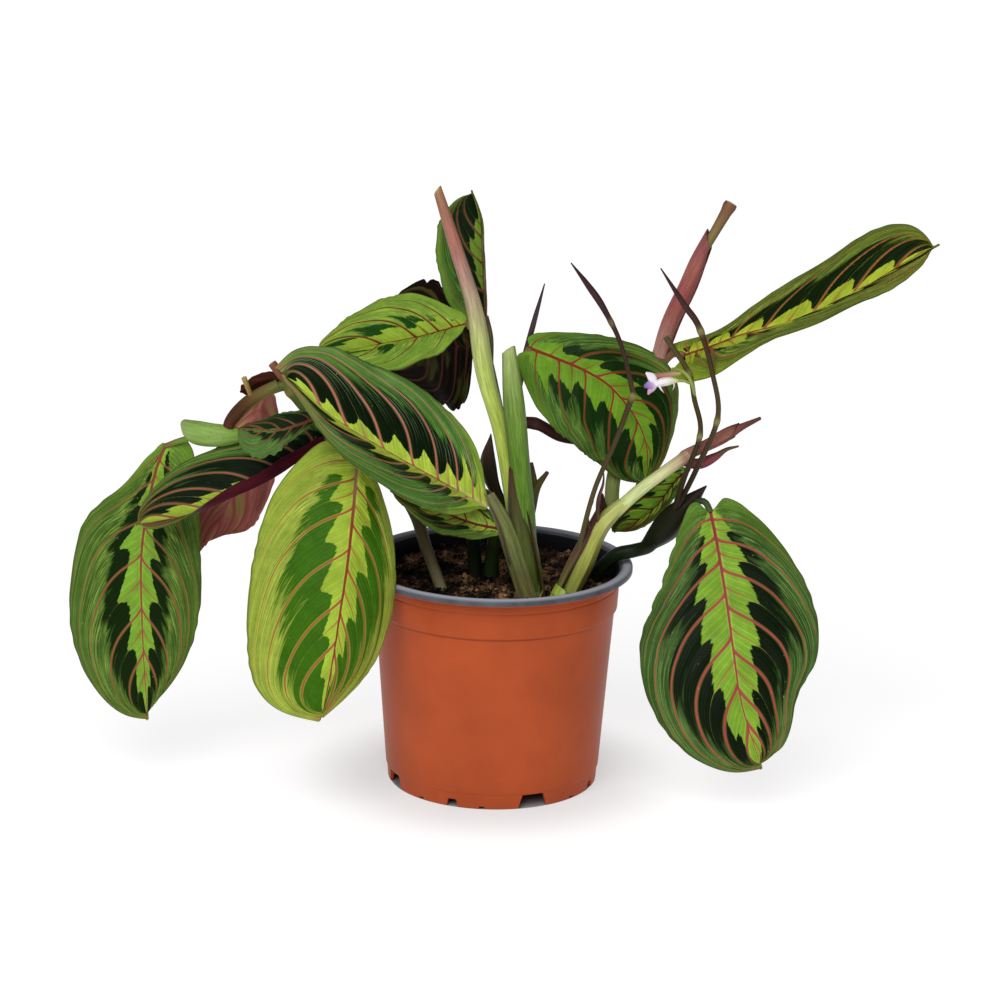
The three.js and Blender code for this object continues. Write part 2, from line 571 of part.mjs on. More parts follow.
const looks = {
  pot: { color: '#b4532f', roughness: 0.42 },
  soil: { color: '#241a14', roughness: 0.95 },
  flower: { color: '#f4f0f2', roughness: 0.55 },
  left_stem: { color: '#5d6b3c', roughness: 0.5 },
  centre_stems: { color: '#6f7d45', roughness: 0.5 },
  back_stem: { color: '#3d4a2c', roughness: 0.55 },
  right_stem: { color: '#7d8a4e', roughness: 0.5 },
  hanging_stem: { color: '#2a3a22', roughness: 0.5 },
  back_stub_left: { color: '#2f4526', roughness: 0.55 },
  back_stub_right: { color: '#466a2a', roughness: 0.55 },
};

const plant = new THREE.Group();
for (const [name, body] of Object.entries(bodies)) {
  const look = looks[name] ?? { color: leaves[name].colour, roughness: 0.38 };
  const mesh = new THREE.Mesh(surface(body), new THREE.MeshStandardMaterial({ metalness: 0, ...look }));
  mesh.name = name;
  plant.add(mesh);
}

export default plant;
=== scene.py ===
# A potted prayer plant (maranta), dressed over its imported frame: patterned blades, jointed stems, peat and
# a nursery pot. The dictionaries are in millimetres; the scene is in metres.
import bpy
import math
import random
import numpy as np
from functools import partial
from mathutils import Matrix, Vector, noise


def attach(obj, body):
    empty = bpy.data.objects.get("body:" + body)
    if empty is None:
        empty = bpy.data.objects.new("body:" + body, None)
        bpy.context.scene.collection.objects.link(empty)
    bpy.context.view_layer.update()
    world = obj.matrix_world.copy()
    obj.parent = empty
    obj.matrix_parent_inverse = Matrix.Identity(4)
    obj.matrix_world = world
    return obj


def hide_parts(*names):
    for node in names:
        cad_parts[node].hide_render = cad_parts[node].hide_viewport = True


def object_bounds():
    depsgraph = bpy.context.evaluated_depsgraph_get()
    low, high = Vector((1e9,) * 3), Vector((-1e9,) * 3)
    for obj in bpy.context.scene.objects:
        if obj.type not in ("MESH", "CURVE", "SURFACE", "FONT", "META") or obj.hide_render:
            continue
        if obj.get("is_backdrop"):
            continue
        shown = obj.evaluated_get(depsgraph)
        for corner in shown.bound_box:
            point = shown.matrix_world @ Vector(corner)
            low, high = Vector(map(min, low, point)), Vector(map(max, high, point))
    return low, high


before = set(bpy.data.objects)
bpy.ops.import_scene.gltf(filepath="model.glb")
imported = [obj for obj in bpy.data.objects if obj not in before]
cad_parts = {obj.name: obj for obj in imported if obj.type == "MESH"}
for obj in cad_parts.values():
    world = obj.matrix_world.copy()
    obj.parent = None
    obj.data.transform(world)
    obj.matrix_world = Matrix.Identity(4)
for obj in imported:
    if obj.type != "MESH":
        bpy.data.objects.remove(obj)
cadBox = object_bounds()
random.seed(7)
scene = bpy.context.scene
mm = 0.001


def toLinear(hexColour):
    channels = [int(hexColour[i:i + 2], 16) / 255 for i in (1, 3, 5)]
    return [c / 12.92 if c <= 0.04045 else ((c + 0.055) / 1.055) ** 2.4 for c in channels] + [1.0]


def rgb(hexColour):
    return np.array(toLinear(hexColour)[:3])


# A colour made lighter or darker, never above white.
def shaded(hexColour, factor):
    return [min(1, c * factor) for c in toLinear(hexColour)[:3]] + [1]


# Where addNode puts a setting that is given as a single word.
nodeModes = {"Math": "operation", "VectorMath": "operation", "MapRange": "interpolation_type",
    "Mix": "data_type", "Attribute": "attribute_name"}


# Sets or links a node's inputs, which are given by name or number, or in their order.
def feed(node, inputs):
    for name, value in inputs.items() if isinstance(inputs, dict) else enumerate(inputs):
        if isinstance(value, bpy.types.NodeSocket):
            node.id_data.links.new(value, node.inputs[name])
        else:
            node.inputs[name].default_value = value


# Adds a node with its settings, values and links, and gives back the output that is asked for.
# A MapRange takes its value, then from min, from max, to min and to max; a Mix its share and two colours.
def addNode(tree, kind, settings=None, inputs=(), output=0):
    node = tree.nodes.new("ShaderNode" + kind)
    if isinstance(settings, str):
        settings = {nodeModes[kind]: settings}
    if kind == "Mix":
        inputs, output = dict(zip((0, 6, 7), inputs)), 2
    for name, value in (settings or {}).items():
        setattr(node, name, value)
    feed(node, inputs)
    return node.outputs[output]


def shapeCurve(socket, points):
    curve = socket.node.mapping.curves[0]
    curve.points[0].location = points[0]
    curve.points[-1].location = points[-1]
    for x, y in points[1:-1]:
        curve.points.new(x, y)
    for point in curve.points:
        point.handle_type = "VECTOR"
    socket.node.mapping.update()


# A new material, the function that adds nodes to it, and its surface.
def startMaterial(name):
    material = bpy.data.materials.new(name)
    material.use_nodes = True
    tree = material.node_tree
    return material, partial(addNode, tree), tree.nodes["Principled BSDF"]


# Selects these objects alone; the first is the active one.
def choose(*pieces):
    bpy.ops.object.select_all(action="DESELECT")
    for piece in pieces:
        piece.select_set(True)
    bpy.context.view_layer.objects.active = pieces[0]


def joined(pieces):
    choose(*pieces)
    bpy.ops.object.join()
    return bpy.context.object


def applyModifier(piece, name, kind, **settings):
    modifier = piece.modifiers.new(name, kind)
    for key, value in settings.items():
        setattr(modifier, key, value)
    bpy.ops.object.modifier_apply(modifier=name)


def meshPiece(name, points, faces):
    mesh = bpy.data.meshes.new(name)
    mesh.from_pydata([tuple(p) for p in np.array(points) * mm], [], faces)
    piece = bpy.data.objects.new(name, mesh)
    scene.collection.objects.link(piece)
    return piece


def finishPiece(piece, name, node, materials=()):
    piece.name = name
    piece.data.name = name
    for material in materials:
        piece.data.materials.append(material)
    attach(piece, "root")
    if node:
        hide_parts(node)


# Values spaced evenly from 0 to 1, read in between along a smooth line.
def smoothly(values, share):
    values = np.asarray(values, float)
    if len(values) == 1:
        values = np.repeat(values, 2, axis=0)
    flat = values.ndim == 1
    if flat:
        values = values[:, None]
    padded = np.vstack([2 * values[0] - values[1], values, 2 * values[-1] - values[-2]])
    place = np.clip(share, 0, 1) * (len(values) - 1)
    low = np.minimum(place.astype(int), len(values) - 2)
    x = (place - low)[:, None]
    a, b, c, d = (padded[low + k] for k in range(4))
    square, cube = (2 * a - 5 * b + 4 * c - d) * x**2, (3 * b - a - 3 * c + d) * x**3
    mixed = 0.5 * (2 * b + (c - a) * x + square + cube)
    return mixed[:, 0] if flat else mixed


def unit(vectors):
    return vectors / np.maximum(np.linalg.norm(vectors, axis=-1, keepdims=True), 1e-9)


# A smooth path through points, and the places and directions at distances along it.
def tracePath(points):
    places = smoothly(points, np.linspace(0, 1, 40 * (len(points) - 1) + 1))
    steps = np.linalg.norm(np.diff(places, axis=0), axis=1)
    distances = np.concatenate([[0], np.cumsum(steps)])
    directions = unit(np.gradient(places, axis=0))
    return {"places": places, "directions": directions, "distances": distances, "length": distances[-1]}


def alongPath(path, distance):
    places, directions = (
        np.stack([np.interp(distance, path["distances"], path[key][:, k]) for k in range(3)], 1)
        for key in ("places", "directions"))
    return places, unit(directions)


print("leaves")

# Each blade: its midrib from the stalk to the tip and what its face looks towards, then its form and its
# pattern at even steps from base to tip. Two lists in one are the two sides of the blade.
leaves = {
    "leaf_front_right": {
        "midrib": [[93, -2, 123], [96, -11, 110], [100, -23, 89], [103, -32, 70], [107, -40, 48],
            [116, -46, 21]],
        "facing": [[0.05, -0.92, 0.38], [0, -0.95, 0.3]], "fold": [8, 0, 0],
        "curl": [[-15, -10], [-15, -12]], "width": [[21, 29, 39, 41, 39, 35], [24, 32, 38, 38, 30, 30]],
        "slide": [[-9, 0, 5, 5, 4, 4], [-8, -7, -2, -2, -1, 1]], "wave": 1.1, "phase": 0.4,
        "veins": [[0.03, 0.11, 0.21, 0.34, 0.51, 0.69, 0.85],
            [0.035, 0.12, 0.24, 0.39, 0.56, 0.71, 0.83]],
        "limeReach": [[0.45, 0.38, 0.3, 0.31, 0.24, 0.16], [0.43, 0.4, 0.33, 0.27, 0.22, 0.14]],
        "blotchReach": [[0.24, 0.66, 0.67, 0.6, 0.43, 0.2], [0.24, 0.7, 0.68, 0.61, 0.46, 0.22]],
        "margin": "#345420", "marginLight": "#7e9c52", "blotch": "#081602", "lime": "#7aa52f",
        "limeLight": "#bccd5a", "vein": "#a04c42", "midribColour": "#964640", "veinWidth": 1.35,
        "nicks": [(-1, 0.13, 0.9, 0.012), (-1, 0.19, 0.9, 0.012), (-1, 0.25, 1.2, 0.012),
            (-1, 0.32, 1, 0.012), (1, 0.965, 3, 0.012)],
        "sheen": 0.02, "pleatShadeDepth": 0.07, "pleatBump": 0.35,
    },
    "leaf_front_left": {
        "midrib": [[-59, -34, 154], [-60, -45, 137], [-62, -56, 114], [-65, -63, 92], [-68, -67, 71],
            [-72, -69, 49]],
        "facing": [[-0.05, -0.9, 0.42], [0, -0.95, 0.3]], "fold": [[6, 0, 0], [-8, -22, -24, -16]],
        "curl": [[-15, -10], [-40, -40]], "width": [[42, 43, 41, 40, 42, 48], [20, 26, 29, 27, 19, 1]],
        "slide": [[-10, -1, 5, 10, 12, 7], [3, 10, 13, 15, 10, 4]], "wave": 1, "phase": 2.1,
        "veins": [[0.02, 0.1, 0.22, 0.38, 0.57, 0.73], [0.13, 0.28, 0.45, 0.62, 0.76]],
        "limeReach": [[0.5, 0.25, 0.22, 0.17, 0.12, 0.04], [0.55, 0.38, 0.32, 0.26, 0.16, 0.05]],
        "blotchReach": [[0.3, 0.64, 0.7, 0.68, 0.56, 0.3], [0.45, 0.8, 0.8, 0.74, 0.6, 0.3]],
        "margin": "#8ea339", "marginLight": "#bec758", "blotch": "#38660b", "lime": "#a0bc39",
        "limeLight": "#c3d455", "vein": "#a35a38", "midribColour": "#853c27", "veinWidth": 0.95,
        "halo": 0.35,
        "limeCurve": [(0, 0.64), (0.2, 0.8), (0.42, 1.08), (0.52, 1.02), (0.62, 0.7), (0.74, 0.54),
            (0.88, 0.56), (1, 0.64)],
        "blotchCurve": [(0, 0.86), (0.3, 0.84), (0.55, 0.95), (0.8, 1.0), (1, 0.86)], "pleatShadeDepth": 0.06,
        "streakShade": (0.78, 1.16), "paleMidrib": 0.3,
    },
    "leaf_far_left": {
        "midrib": [[-144, 2, 147], [-148, 0, 136], [-152, -4, 117], [-154, -8, 96], [-153, -13, 63],
            [-151, -16, 28]],
        "facing": [[-0.2, -0.93, 0.3], [-0.1, -0.96, 0.26]], "fold": [10, 5, 0],
        "curl": [[-25, -20], [-25, -25]], "width": [[5, 14, 28, 34, 39, 37], [25, 25, 26, 27, 27, 22]],
        "slide": [[-3, -6, -11, -9, -2, 5], [-9, -8, -7, -9, -8, -6]], "wave": 1, "phase": 4,
        "veins": [[0.03, 0.13, 0.27, 0.41, 0.61, 0.77], [0.06, 0.18, 0.31, 0.42, 0.61, 0.76]],
        "limeReach": [[0.35, 0.3, 0.28, 0.24, 0.16, 0.06], [0.36, 0.34, 0.3, 0.24, 0.14, 0.04]],
        "blotchReach": [[0.3, 0.46, 0.52, 0.52, 0.4, 0.15], [0.3, 0.42, 0.46, 0.46, 0.36, 0.12]],
        "margin": "#476624", "marginLight": "#8da849", "blotch": "#0c2000", "lime": "#76a231",
        "limeLight": "#a5c44b", "vein": "#94503c", "midribColour": "#8e4e38", "veinWidth": 0.85,
        "limeCurve": [(0, 0.62), (0.2, 0.78), (0.42, 1.12), (0.5, 1.05), (0.6, 0.68), (0.75, 0.56),
            (1, 0.62)],
        "veinlets": 0.8, "paleBase": 0.9, "pleatBump": 0.5,
    },
    "leaf_front_dark": {
        "midrib": [[-4, -17, 127], [-24, -27, 141], [-47, -34, 156], [-68, -37, 170], [-83, -36, 183],
            [-91, -32, 188]],
        "facing": [[0.05, -0.8, 0.6], [0.05, -0.8, 0.6], [-0.1, -0.8, 0.6]],
        "fold": [[15, 15, 10], [45, 58, 58, 50]], "curl": [[-20, -40], [-20, -20]],
        "width": [[34, 31, 33, 33, 33, 38], [18, 33, 41, 37, 18, 5]],
        "slide": [[5, 0, -1, 5, 8, 11], [7, 6, -2, 1, -1, 4]], "wave": 0.9, "phase": 1.2,
        "veins": [[0.08, 0.16, 0.26, 0.38, 0.52, 0.69, 0.82], [0.11, 0.21, 0.31, 0.4, 0.56]],
        "limeReach": [[0.9, 0.3, 0.2, 0.17, 0.13, 0.12], [0.8, 0.4, 0.36, 0.33, 0.3, 0.2]],
        "blotchReach": [[0.2, 0.7, 0.76, 0.76, 0.72, 0.5], [0.4, 0.55, 0.6, 0.6, 0.55, 0.4]],
        "margin": "#4e802e", "marginLight": "#86ae5c", "blotch": "#0a1a05", "lime": "#b5d144",
        "limeLight": "#ffff86", "vein": "#c16d65", "midribColour": "#a55e4f", "veinWidth": 0.95,
        "limeCurve": [(0, 0.4), (0.25, 0.7), (0.45, 1.15), (0.52, 1.1), (0.62, 0.72), (0.8, 0.45),
            (1, 0.4)],
        "paleBase": 0.95, "pleatShadeDepth": 0.3, "pleats": 8.0, "specks": 0.5, "sheen": 0.5,
        "streakShade": (0.7, 1.2), "paleMidrib": 0.85,
    },
    "leaf_low_centre": {
        "midrib": [[1, -18, 118], [-11, -23, 122], [-28, -28, 130], [-45, -32, 138]],
        "facing": [[0.1, -0.75, 0.65]], "fold": [10, 10], "curl": [[-20, -20], [-30, -30]],
        "width": [[12, 14, 14, 13, 12, 12], [6, 8, 9, 10, 7, 6]], "slide": [-3, 0, 0, 0, 0, 0],
        "wave": 0.6, "phase": 0.5, "veins": [0.1, 0.3, 0.5, 0.7], "limeReach": [0.6, 0.5, 0.45, 0.4],
        "blotchReach": [0.4, 0.8, 0.85, 0.7], "margin": "#547830", "marginLight": "#85a843",
        "blotch": "#182c10", "lime": "#8faa3a", "limeLight": "#bed359", "vein": "#753527",
        "veinWidth": 0.7,
    },
    "leaf_upper_left": {
        "midrib": [[-14, 14, 201], [-23, 14, 198], [-35, 12, 195], [-48, 9, 193], [-62, 6, 191],
            [-77, 5, 190]],
        "facing": [[0.05, -0.35, 0.93]], "fold": [[52, 50], [25, 20]], "curl": [[-25, -20], [-40, -40]],
        "width": [[14, 24, 20, 17, 13, 8], [8, 13, 17, 21, 26, 30]],
        "slide": [[-2, 6, 7, 7, 6, 3], [1, -6, -8, -8, -5, -2]], "wave": 0.8, "phase": 3,
        "veins": [[0.1, 0.2, 0.36, 0.6], [0.14, 0.34, 0.6]], "limeReach": [0.4, 0.3, 0.3, 0.28],
        "blotchReach": [[0.2, 0.6, 0.62, 0.56], [0.2, 0.3, 0.56, 0.5]], "margin": "#779e38",
        "marginLight": "#bdcc51", "blotch": "#1c4610", "lime": "#93b237", "limeLight": "#bec84c",
        "vein": "#742e20", "midribColour": "#7f3d28", "veinWidth": 0.85,
        "blotchCurve": [(0, 0.3), (0.25, 0.75), (0.5, 1.0), (0.75, 0.85), (1, 0.3)], "pleatShadeDepth": 0.06,
        "streakShade": (0.8, 1.14),
    },
    "leaf_top": {
        "midrib": [[-6, 28, 201], [-7, 26, 216], [-8, 23, 232], [-9, 20, 246], [-13, 16, 259]],
        "facing": [[-0.3, -0.93, 0.2]], "fold": [[60, 60], [15, 5]], "curl": [[20, 20], [-25, -25]],
        "width": [[14, 14, 14, 14, 14, 14], [26, 23, 22, 22, 22, 21]],
        "slide": [[-3, 0, 0, 0, 0, 0], [-4, -1, 1, 1, 0, 0]], "wave": 0.7, "phase": 5.1,
        "veins": [[0.06, 0.3, 0.55], [0.0, 0.2, 0.42, 0.62]],
        "limeReach": [[0.3, 0.2, 0.1, 0.02], [0.02, 0.06, 0.26, 0.2, 0.06, 0.02]],
        "blotchReach": [[0.7, 0.7], [0.4, 0.8, 0.9, 0.8]], "margin": "#3a6221", "marginLight": "#71933b",
        "blotch": "#12240f", "lime": "#7ea735", "limeLight": "#a1c14f", "vein": "#884a3f",
        "midribColour": "#934a40", "veinWidth": 0.9, "sweep": 1.5,
    },
    "leaf_rear_dark": {
        "midrib": [[-11, 32, 187], [-21, 37, 186], [-33, 43, 185], [-46, 50, 184], [-60, 57, 184]],
        "facing": [[-0.1, 0.93, 0.1]], "fold": [0, 0], "curl": [20, 20],
        "width": [[27, 33, 35, 31, 27, 23], [18, 27, 30, 26, 21, 16]],
        "slide": [[3, -1, -5, -6, -2, 2], [-1, -2, -2, -1, 0, 1]], "wave": 0.6, "phase": 0.9,
        "veins": [0.06, 0.16, 0.28, 0.4, 0.53, 0.67, 0.82], "limeReach": [0.3, 0.3],
        "blotchReach": [0.7, 0.7], "margin": "#2f5f28", "marginLight": "#4f8a3a", "blotch": "#132611",
        "lime": "#6aa833", "limeLight": "#8fc04a", "vein": "#8a4444", "midribColour": "#8a4a44",
        "underside": "#140a02", "underVein": "#5e3228", "veinWidth": 1.1,
        "nicks": [(-1, 0.3, 2, 0.02), (-1, 0.38, 1.5, 0.015), (-1, 0.5, 2.5, 0.02),
            (-1, 0.6, 1.5, 0.015), (1, 0.3, 2, 0.02), (1, 0.42, 2, 0.015)],
        "greenPatches": 0.16,
    },
    "leaf_left_folded": {
        "midrib": [[-74, -14, 155], [-94, -20, 141], [-113, -24, 132], [-133, -27, 124],
            [-154, -28, 120]],
        "facing": [[-0.05, -0.8, 0.6]], "fold": [[8, 8], [125, 125, 120, 60, 15]],
        "curl": [[-30, -30], [20, 20, 10, -10]], "width": [[28, 25, 25, 26, 23, 17], [6, 6, 5, 5, 8, 9]],
        "slide": [[-16, -5, 3, 8, 7, 1], [-3, 0, 0, 0, 0, 0]], "wave": 0.5, "phase": 2.6,
        "veins": [[0.05, 0.14, 0.25, 0.38, 0.52, 0.67, 0.82], [0.1, 0.3, 0.5, 0.7, 0.85]],
        "limeReach": [[0.05, 0.14, 0.26, 0.2], [0.05, 0.1, 0.15, 0.15]],
        "blotchReach": [[0.5, 0.9, 0.9, 0.7], [0.5, 0.8, 0.8, 0.7]], "margin": "#466b2c",
        "marginLight": "#7ca344", "blotch": "#0c1a08", "lime": "#a2bd3a", "limeLight": "#d4e164",
        "vein": "#a05849", "midribColour": "#883d3d", "underside": "#4c1422", "veinWidth": 0.95,
        "pleatShadeDepth": 0.22, "paleBase": 0.0,
    },
    "leaf_left_curled": {
        "midrib": [[-77, -22, 167], [-84, -26, 165], [-94, -29, 163], [-109, -30, 164]],
        "facing": [[0, -0.85, 0.5]], "fold": [[20, 20], [10, 10]], "curl": [[-20, -20], [-40, -40]],
        "width": [[7, 7, 7, 7, 5, 4], [2, 4, 6, 11, 16, 15]],
        "slide": [[-3, -1, 0, -2, -1, 0], [0, 1, 1, -1, 1, 3]], "wave": 0.7, "phase": 3.7,
        "veins": [[0.1, 0.3, 0.5, 0.7], [0.15, 0.35, 0.55, 0.72, 0.86]],
        "limeReach": [[0.1, 0.1, 0.12, 0.15], [0.1, 0.12, 0.15, 0.15]],
        "blotchReach": [[0.9, 1.1, 1.0, 0.5], [0.9, 0.6, 0.3, 0.2]], "margin": "#4f7a38",
        "marginLight": "#729a48", "blotch": "#182814", "lime": "#5a8436", "limeLight": "#729444",
        "vein": "#84503f", "veinWidth": 0.7,
        "nicks": [(1, 0.5, 1.5, 0.02), (1, 0.58, 1, 0.015), (1, 0.66, 2, 0.02), (1, 0.75, 1, 0.015),
            (1, 0.83, 1.6, 0.02)],
    },
    "leaf_left_small": {
        "midrib": [[-91, -6, 179], [-101, -4, 179], [-111, -3, 173]], "facing": [[0.1, 0.95, 0.2]],
        "fold": [10, 10], "curl": [20, 20], "width": [[9, 9, 10, 10, 10, 10], [4, 4, 3, 3, 3, 3]],
        "slide": [-3, 0, 0, 0, 0, 0], "wave": 0.3, "phase": 0, "veins": [0.2, 0.5, 0.8],
        "limeReach": [0.3, 0.3], "blotchReach": [0.7, 0.7], "margin": "#3c5728", "marginLight": "#5b723f",
        "blotch": "#2c3a18", "lime": "#727f3f", "limeLight": "#879253", "vein": "#723c35",
        "underside": "#3a190b", "underVein": "#4f2214", "veinWidth": 0.8,
    },
    "leaf_left_rear": {
        "midrib": [[-102, 8, 168], [-105, 12, 151], [-111, 15, 133], [-119, 16, 115], [-128, 14, 99]],
        "facing": [[0.1, 0.95, -0.2]], "fold": [0, 0], "curl": [20, 20],
        "width": [[13, 11, 14, 15, 17, 14], [11, 14, 16, 18, 16, 14]],
        "slide": [[-5, 1, 4, 3, -1, -7], [-2, 1, 4, 7, 8, 9]], "wave": 0.7, "phase": 1.6,
        "veins": [0.08, 0.2, 0.34, 0.5, 0.66, 0.82], "limeReach": [0.3, 0.3], "blotchReach": [0.7, 0.7],
        "margin": "#3f7a30", "marginLight": "#5f9a48", "blotch": "#16301a", "lime": "#7fae3a",
        "limeLight": "#9cc852", "vein": "#a5583f", "underside": "#c0766a", "underVein": "#a05a4c",
        "veinWidth": 1.1, "greenPatches": 0.8,
    },
    "leaf_right_centre": {
        "midrib": [[13, 8, 192], [25, 6, 188], [38, 4, 183], [49, 3, 176], [60, 4, 162], [65, 5, 148],
            [65, 7, 132]],
        "facing": [[0.1, -0.92, 0.35], [0.2, -0.95, 0.2]], "fold": [8, 5],
        "curl": [[-20, -25], [-25, -30]], "width": [[17, 28, 30, 29, 31, 37], [14, 15, 20, 27, 16, 1]],
        "slide": [[-6, -5, -5, -2, 1, 2], [-4, -6, -4, -2, 0, 4]], "wave": 0.9, "phase": 0.2,
        "veins": [[0.04, 0.16, 0.3, 0.47, 0.67], [0, 0.22, 0.36, 0.53]],
        "limeReach": [[0.8, 0.44, 0.33, 0.3, 0.2, 0.05], [0.8, 0.44, 0.36, 0.33, 0.22, 0.06]],
        "blotchReach": [[0.4, 0.7, 0.76, 0.62, 0.25, 0.05], [0.4, 0.72, 0.78, 0.6, 0.25, 0.05]],
        "margin": "#406124", "marginLight": "#7b9742", "blotch": "#0f2a03", "lime": "#679422",
        "limeLight": "#8dab3e", "vein": "#843624", "veinWidth": 0.95,
        "limeCurve": [(0, 0.72), (0.2, 0.84), (0.4, 1.1), (0.5, 1.06), (0.6, 0.7), (0.74, 0.6),
            (0.88, 0.8), (1, 0.72)],
        "paleBase": 0.8, "pleatShadeDepth": 0.08, "pleatBump": 0.5,
    },
    "leaf_right_low": {
        "midrib": [[84, 14, 137], [79, 17, 132], [71, 18, 120], [62, 16, 113], [52, 12, 109]],
        "facing": [[0.1, -0.85, -0.3]], "fold": [[0, 0], [65, 65]], "curl": [[-30, -30], [-10, -10]],
        "width": [[11, 12, 14, 14, 16, 12], [5, 5, 5, 5, 5, 5]],
        "slide": [[0, 1, 1, 1, 2, 3], [3, 1, -1, -2, -3, -1]], "wave": 0.4, "phase": 2.2,
        "veins": [0.08, 0.22, 0.38, 0.55, 0.72], "limeReach": [0.6, 0.55, 0.5, 0.45],
        "blotchReach": [0.5, 0.85, 0.9, 0.8], "margin": "#3d762c", "marginLight": "#69a548",
        "blotch": "#16300f", "lime": "#84b435", "limeLight": "#a8d34d", "vein": "#6c3222",
        "veinWidth": 0.85,
    },
    "leaf_far_right": {
        "midrib": [[80, 8, 190], [92, 5, 195], [104, 1, 201], [121, -3, 207], [137, -7, 215],
            [157, -10, 227], [173, -12, 238], [185, -13, 245]],
        "facing": [[-0.45, -0.3, 0.8]], "fold": [[0, 12, 30, 28, 15, 5], [12, 15, 18, 22, 26, 30]],
        "curl": [[-20, -20], [-30, -30]], "width": [[34, 27, 23, 23, 18, 22], [29, 12, 25, 32, 32, 26]],
        "slide": [[-12, -6, -1, 3, 3, -4], [-16, -15, -6, 4, 10, -1]], "wave": 0.8, "phase": 4.6,
        "veins": [[0.05, 0.1, 0.26, 0.4, 0.52, 0.66], [0.02, 0.09, 0.19, 0.31, 0.51, 0.67, 0.84]],
        "limeReach": [[0.5, 0.4, 0.35, 0.3, 0.2, 0.08], [0.5, 0.38, 0.26, 0.2, 0.13, 0.04]],
        "blotchReach": [[0.3, 0.35, 0.42, 0.46, 0.4, 0.2], [0.3, 0.58, 0.66, 0.62, 0.5, 0.25]],
        "margin": "#5a7427", "marginLight": "#adba4c", "blotch": "#0e2002", "lime": "#aabe32",
        "limeLight": "#dadb51", "vein": "#a55b3b", "midribColour": "#853f26", "veinWidth": 0.9,
        "limeCurve": [(0, 0.2), (0.15, 0.6), (0.4, 0.98), (0.62, 1.08), (0.76, 0.8), (0.87, 0.3),
            (1, 0.2)],
        "paleBase": 0.8,
    },
}

# What a blade has where its own entry says nothing. The two curves run over one cell, from a lateral vein
# to the next: how far the lime zone and the dark blotch reach.
leafDefaults = {
    "sweep": 1, "nicks": (), "halo": 0.12, "thread": 0.3, "veinlets": 0.45, "pleats": 9.0,
    "pleatShadeDepth": 0.14, "pleatBump": 1.0, "streaky": 0.3, "streakShade": (0.55, 1.3), "paleBase": 0.45,
    "paleMidrib": 0.0, "sheen": 0.0, "specks": 0.25, "underside": "#6b2f35", "underVein": "#4a1c24",
    "greenPatches": 0.0,
    "limeCurve": [(0, 0.84), (0.2, 0.94), (0.45, 1.03), (0.5, 1.0), (0.57, 0.72), (0.72, 0.66),
        (0.86, 0.74), (1, 0.84)],
    "blotchCurve": [(0, 1.02), (0.3, 0.93), (0.5, 0.86), (0.75, 0.92), (1, 1.02)],
}

leafBuild = {
    "rowLength": 0.85,  # of the mesh, along the blade
    "columns": 56,
    "thickness": 0.7,
    "thinning": 0.45,  # share of the thickness lost at the margin
    "scallop": 0.2,  # in and out along the margin
    "grooveDepth": 0.5,  # the midrib lies in a groove of the upper face
    "quilting": 0.7,  # how far the face bulges between two lateral veins
    "midribWidth": 1.8,
    "sideShift": 20,  # added to the vein phase of one side, so that its streaks are others
    "smoothAngle": 55,
}


def bothSides(values):
    return values if isinstance(values[0], list) else [values, values]


# The vein phase at share x along the midrib, whole at each lateral vein, and how fast it changes there.
def veinPhase(starts, x):
    extra = 6
    first, last = starts[1] - starts[0], starts[-1] - starts[-2]
    knots = [starts[0] - first * k for k in range(extra, 0, -1)] + starts
    knots += [starts[-1] + last * k for k in range(1, extra + 1)]
    values = np.arange(-extra, len(starts) + extra)
    return np.interp(x, knots, values), np.interp(x, knots, np.gradient(values, knots))


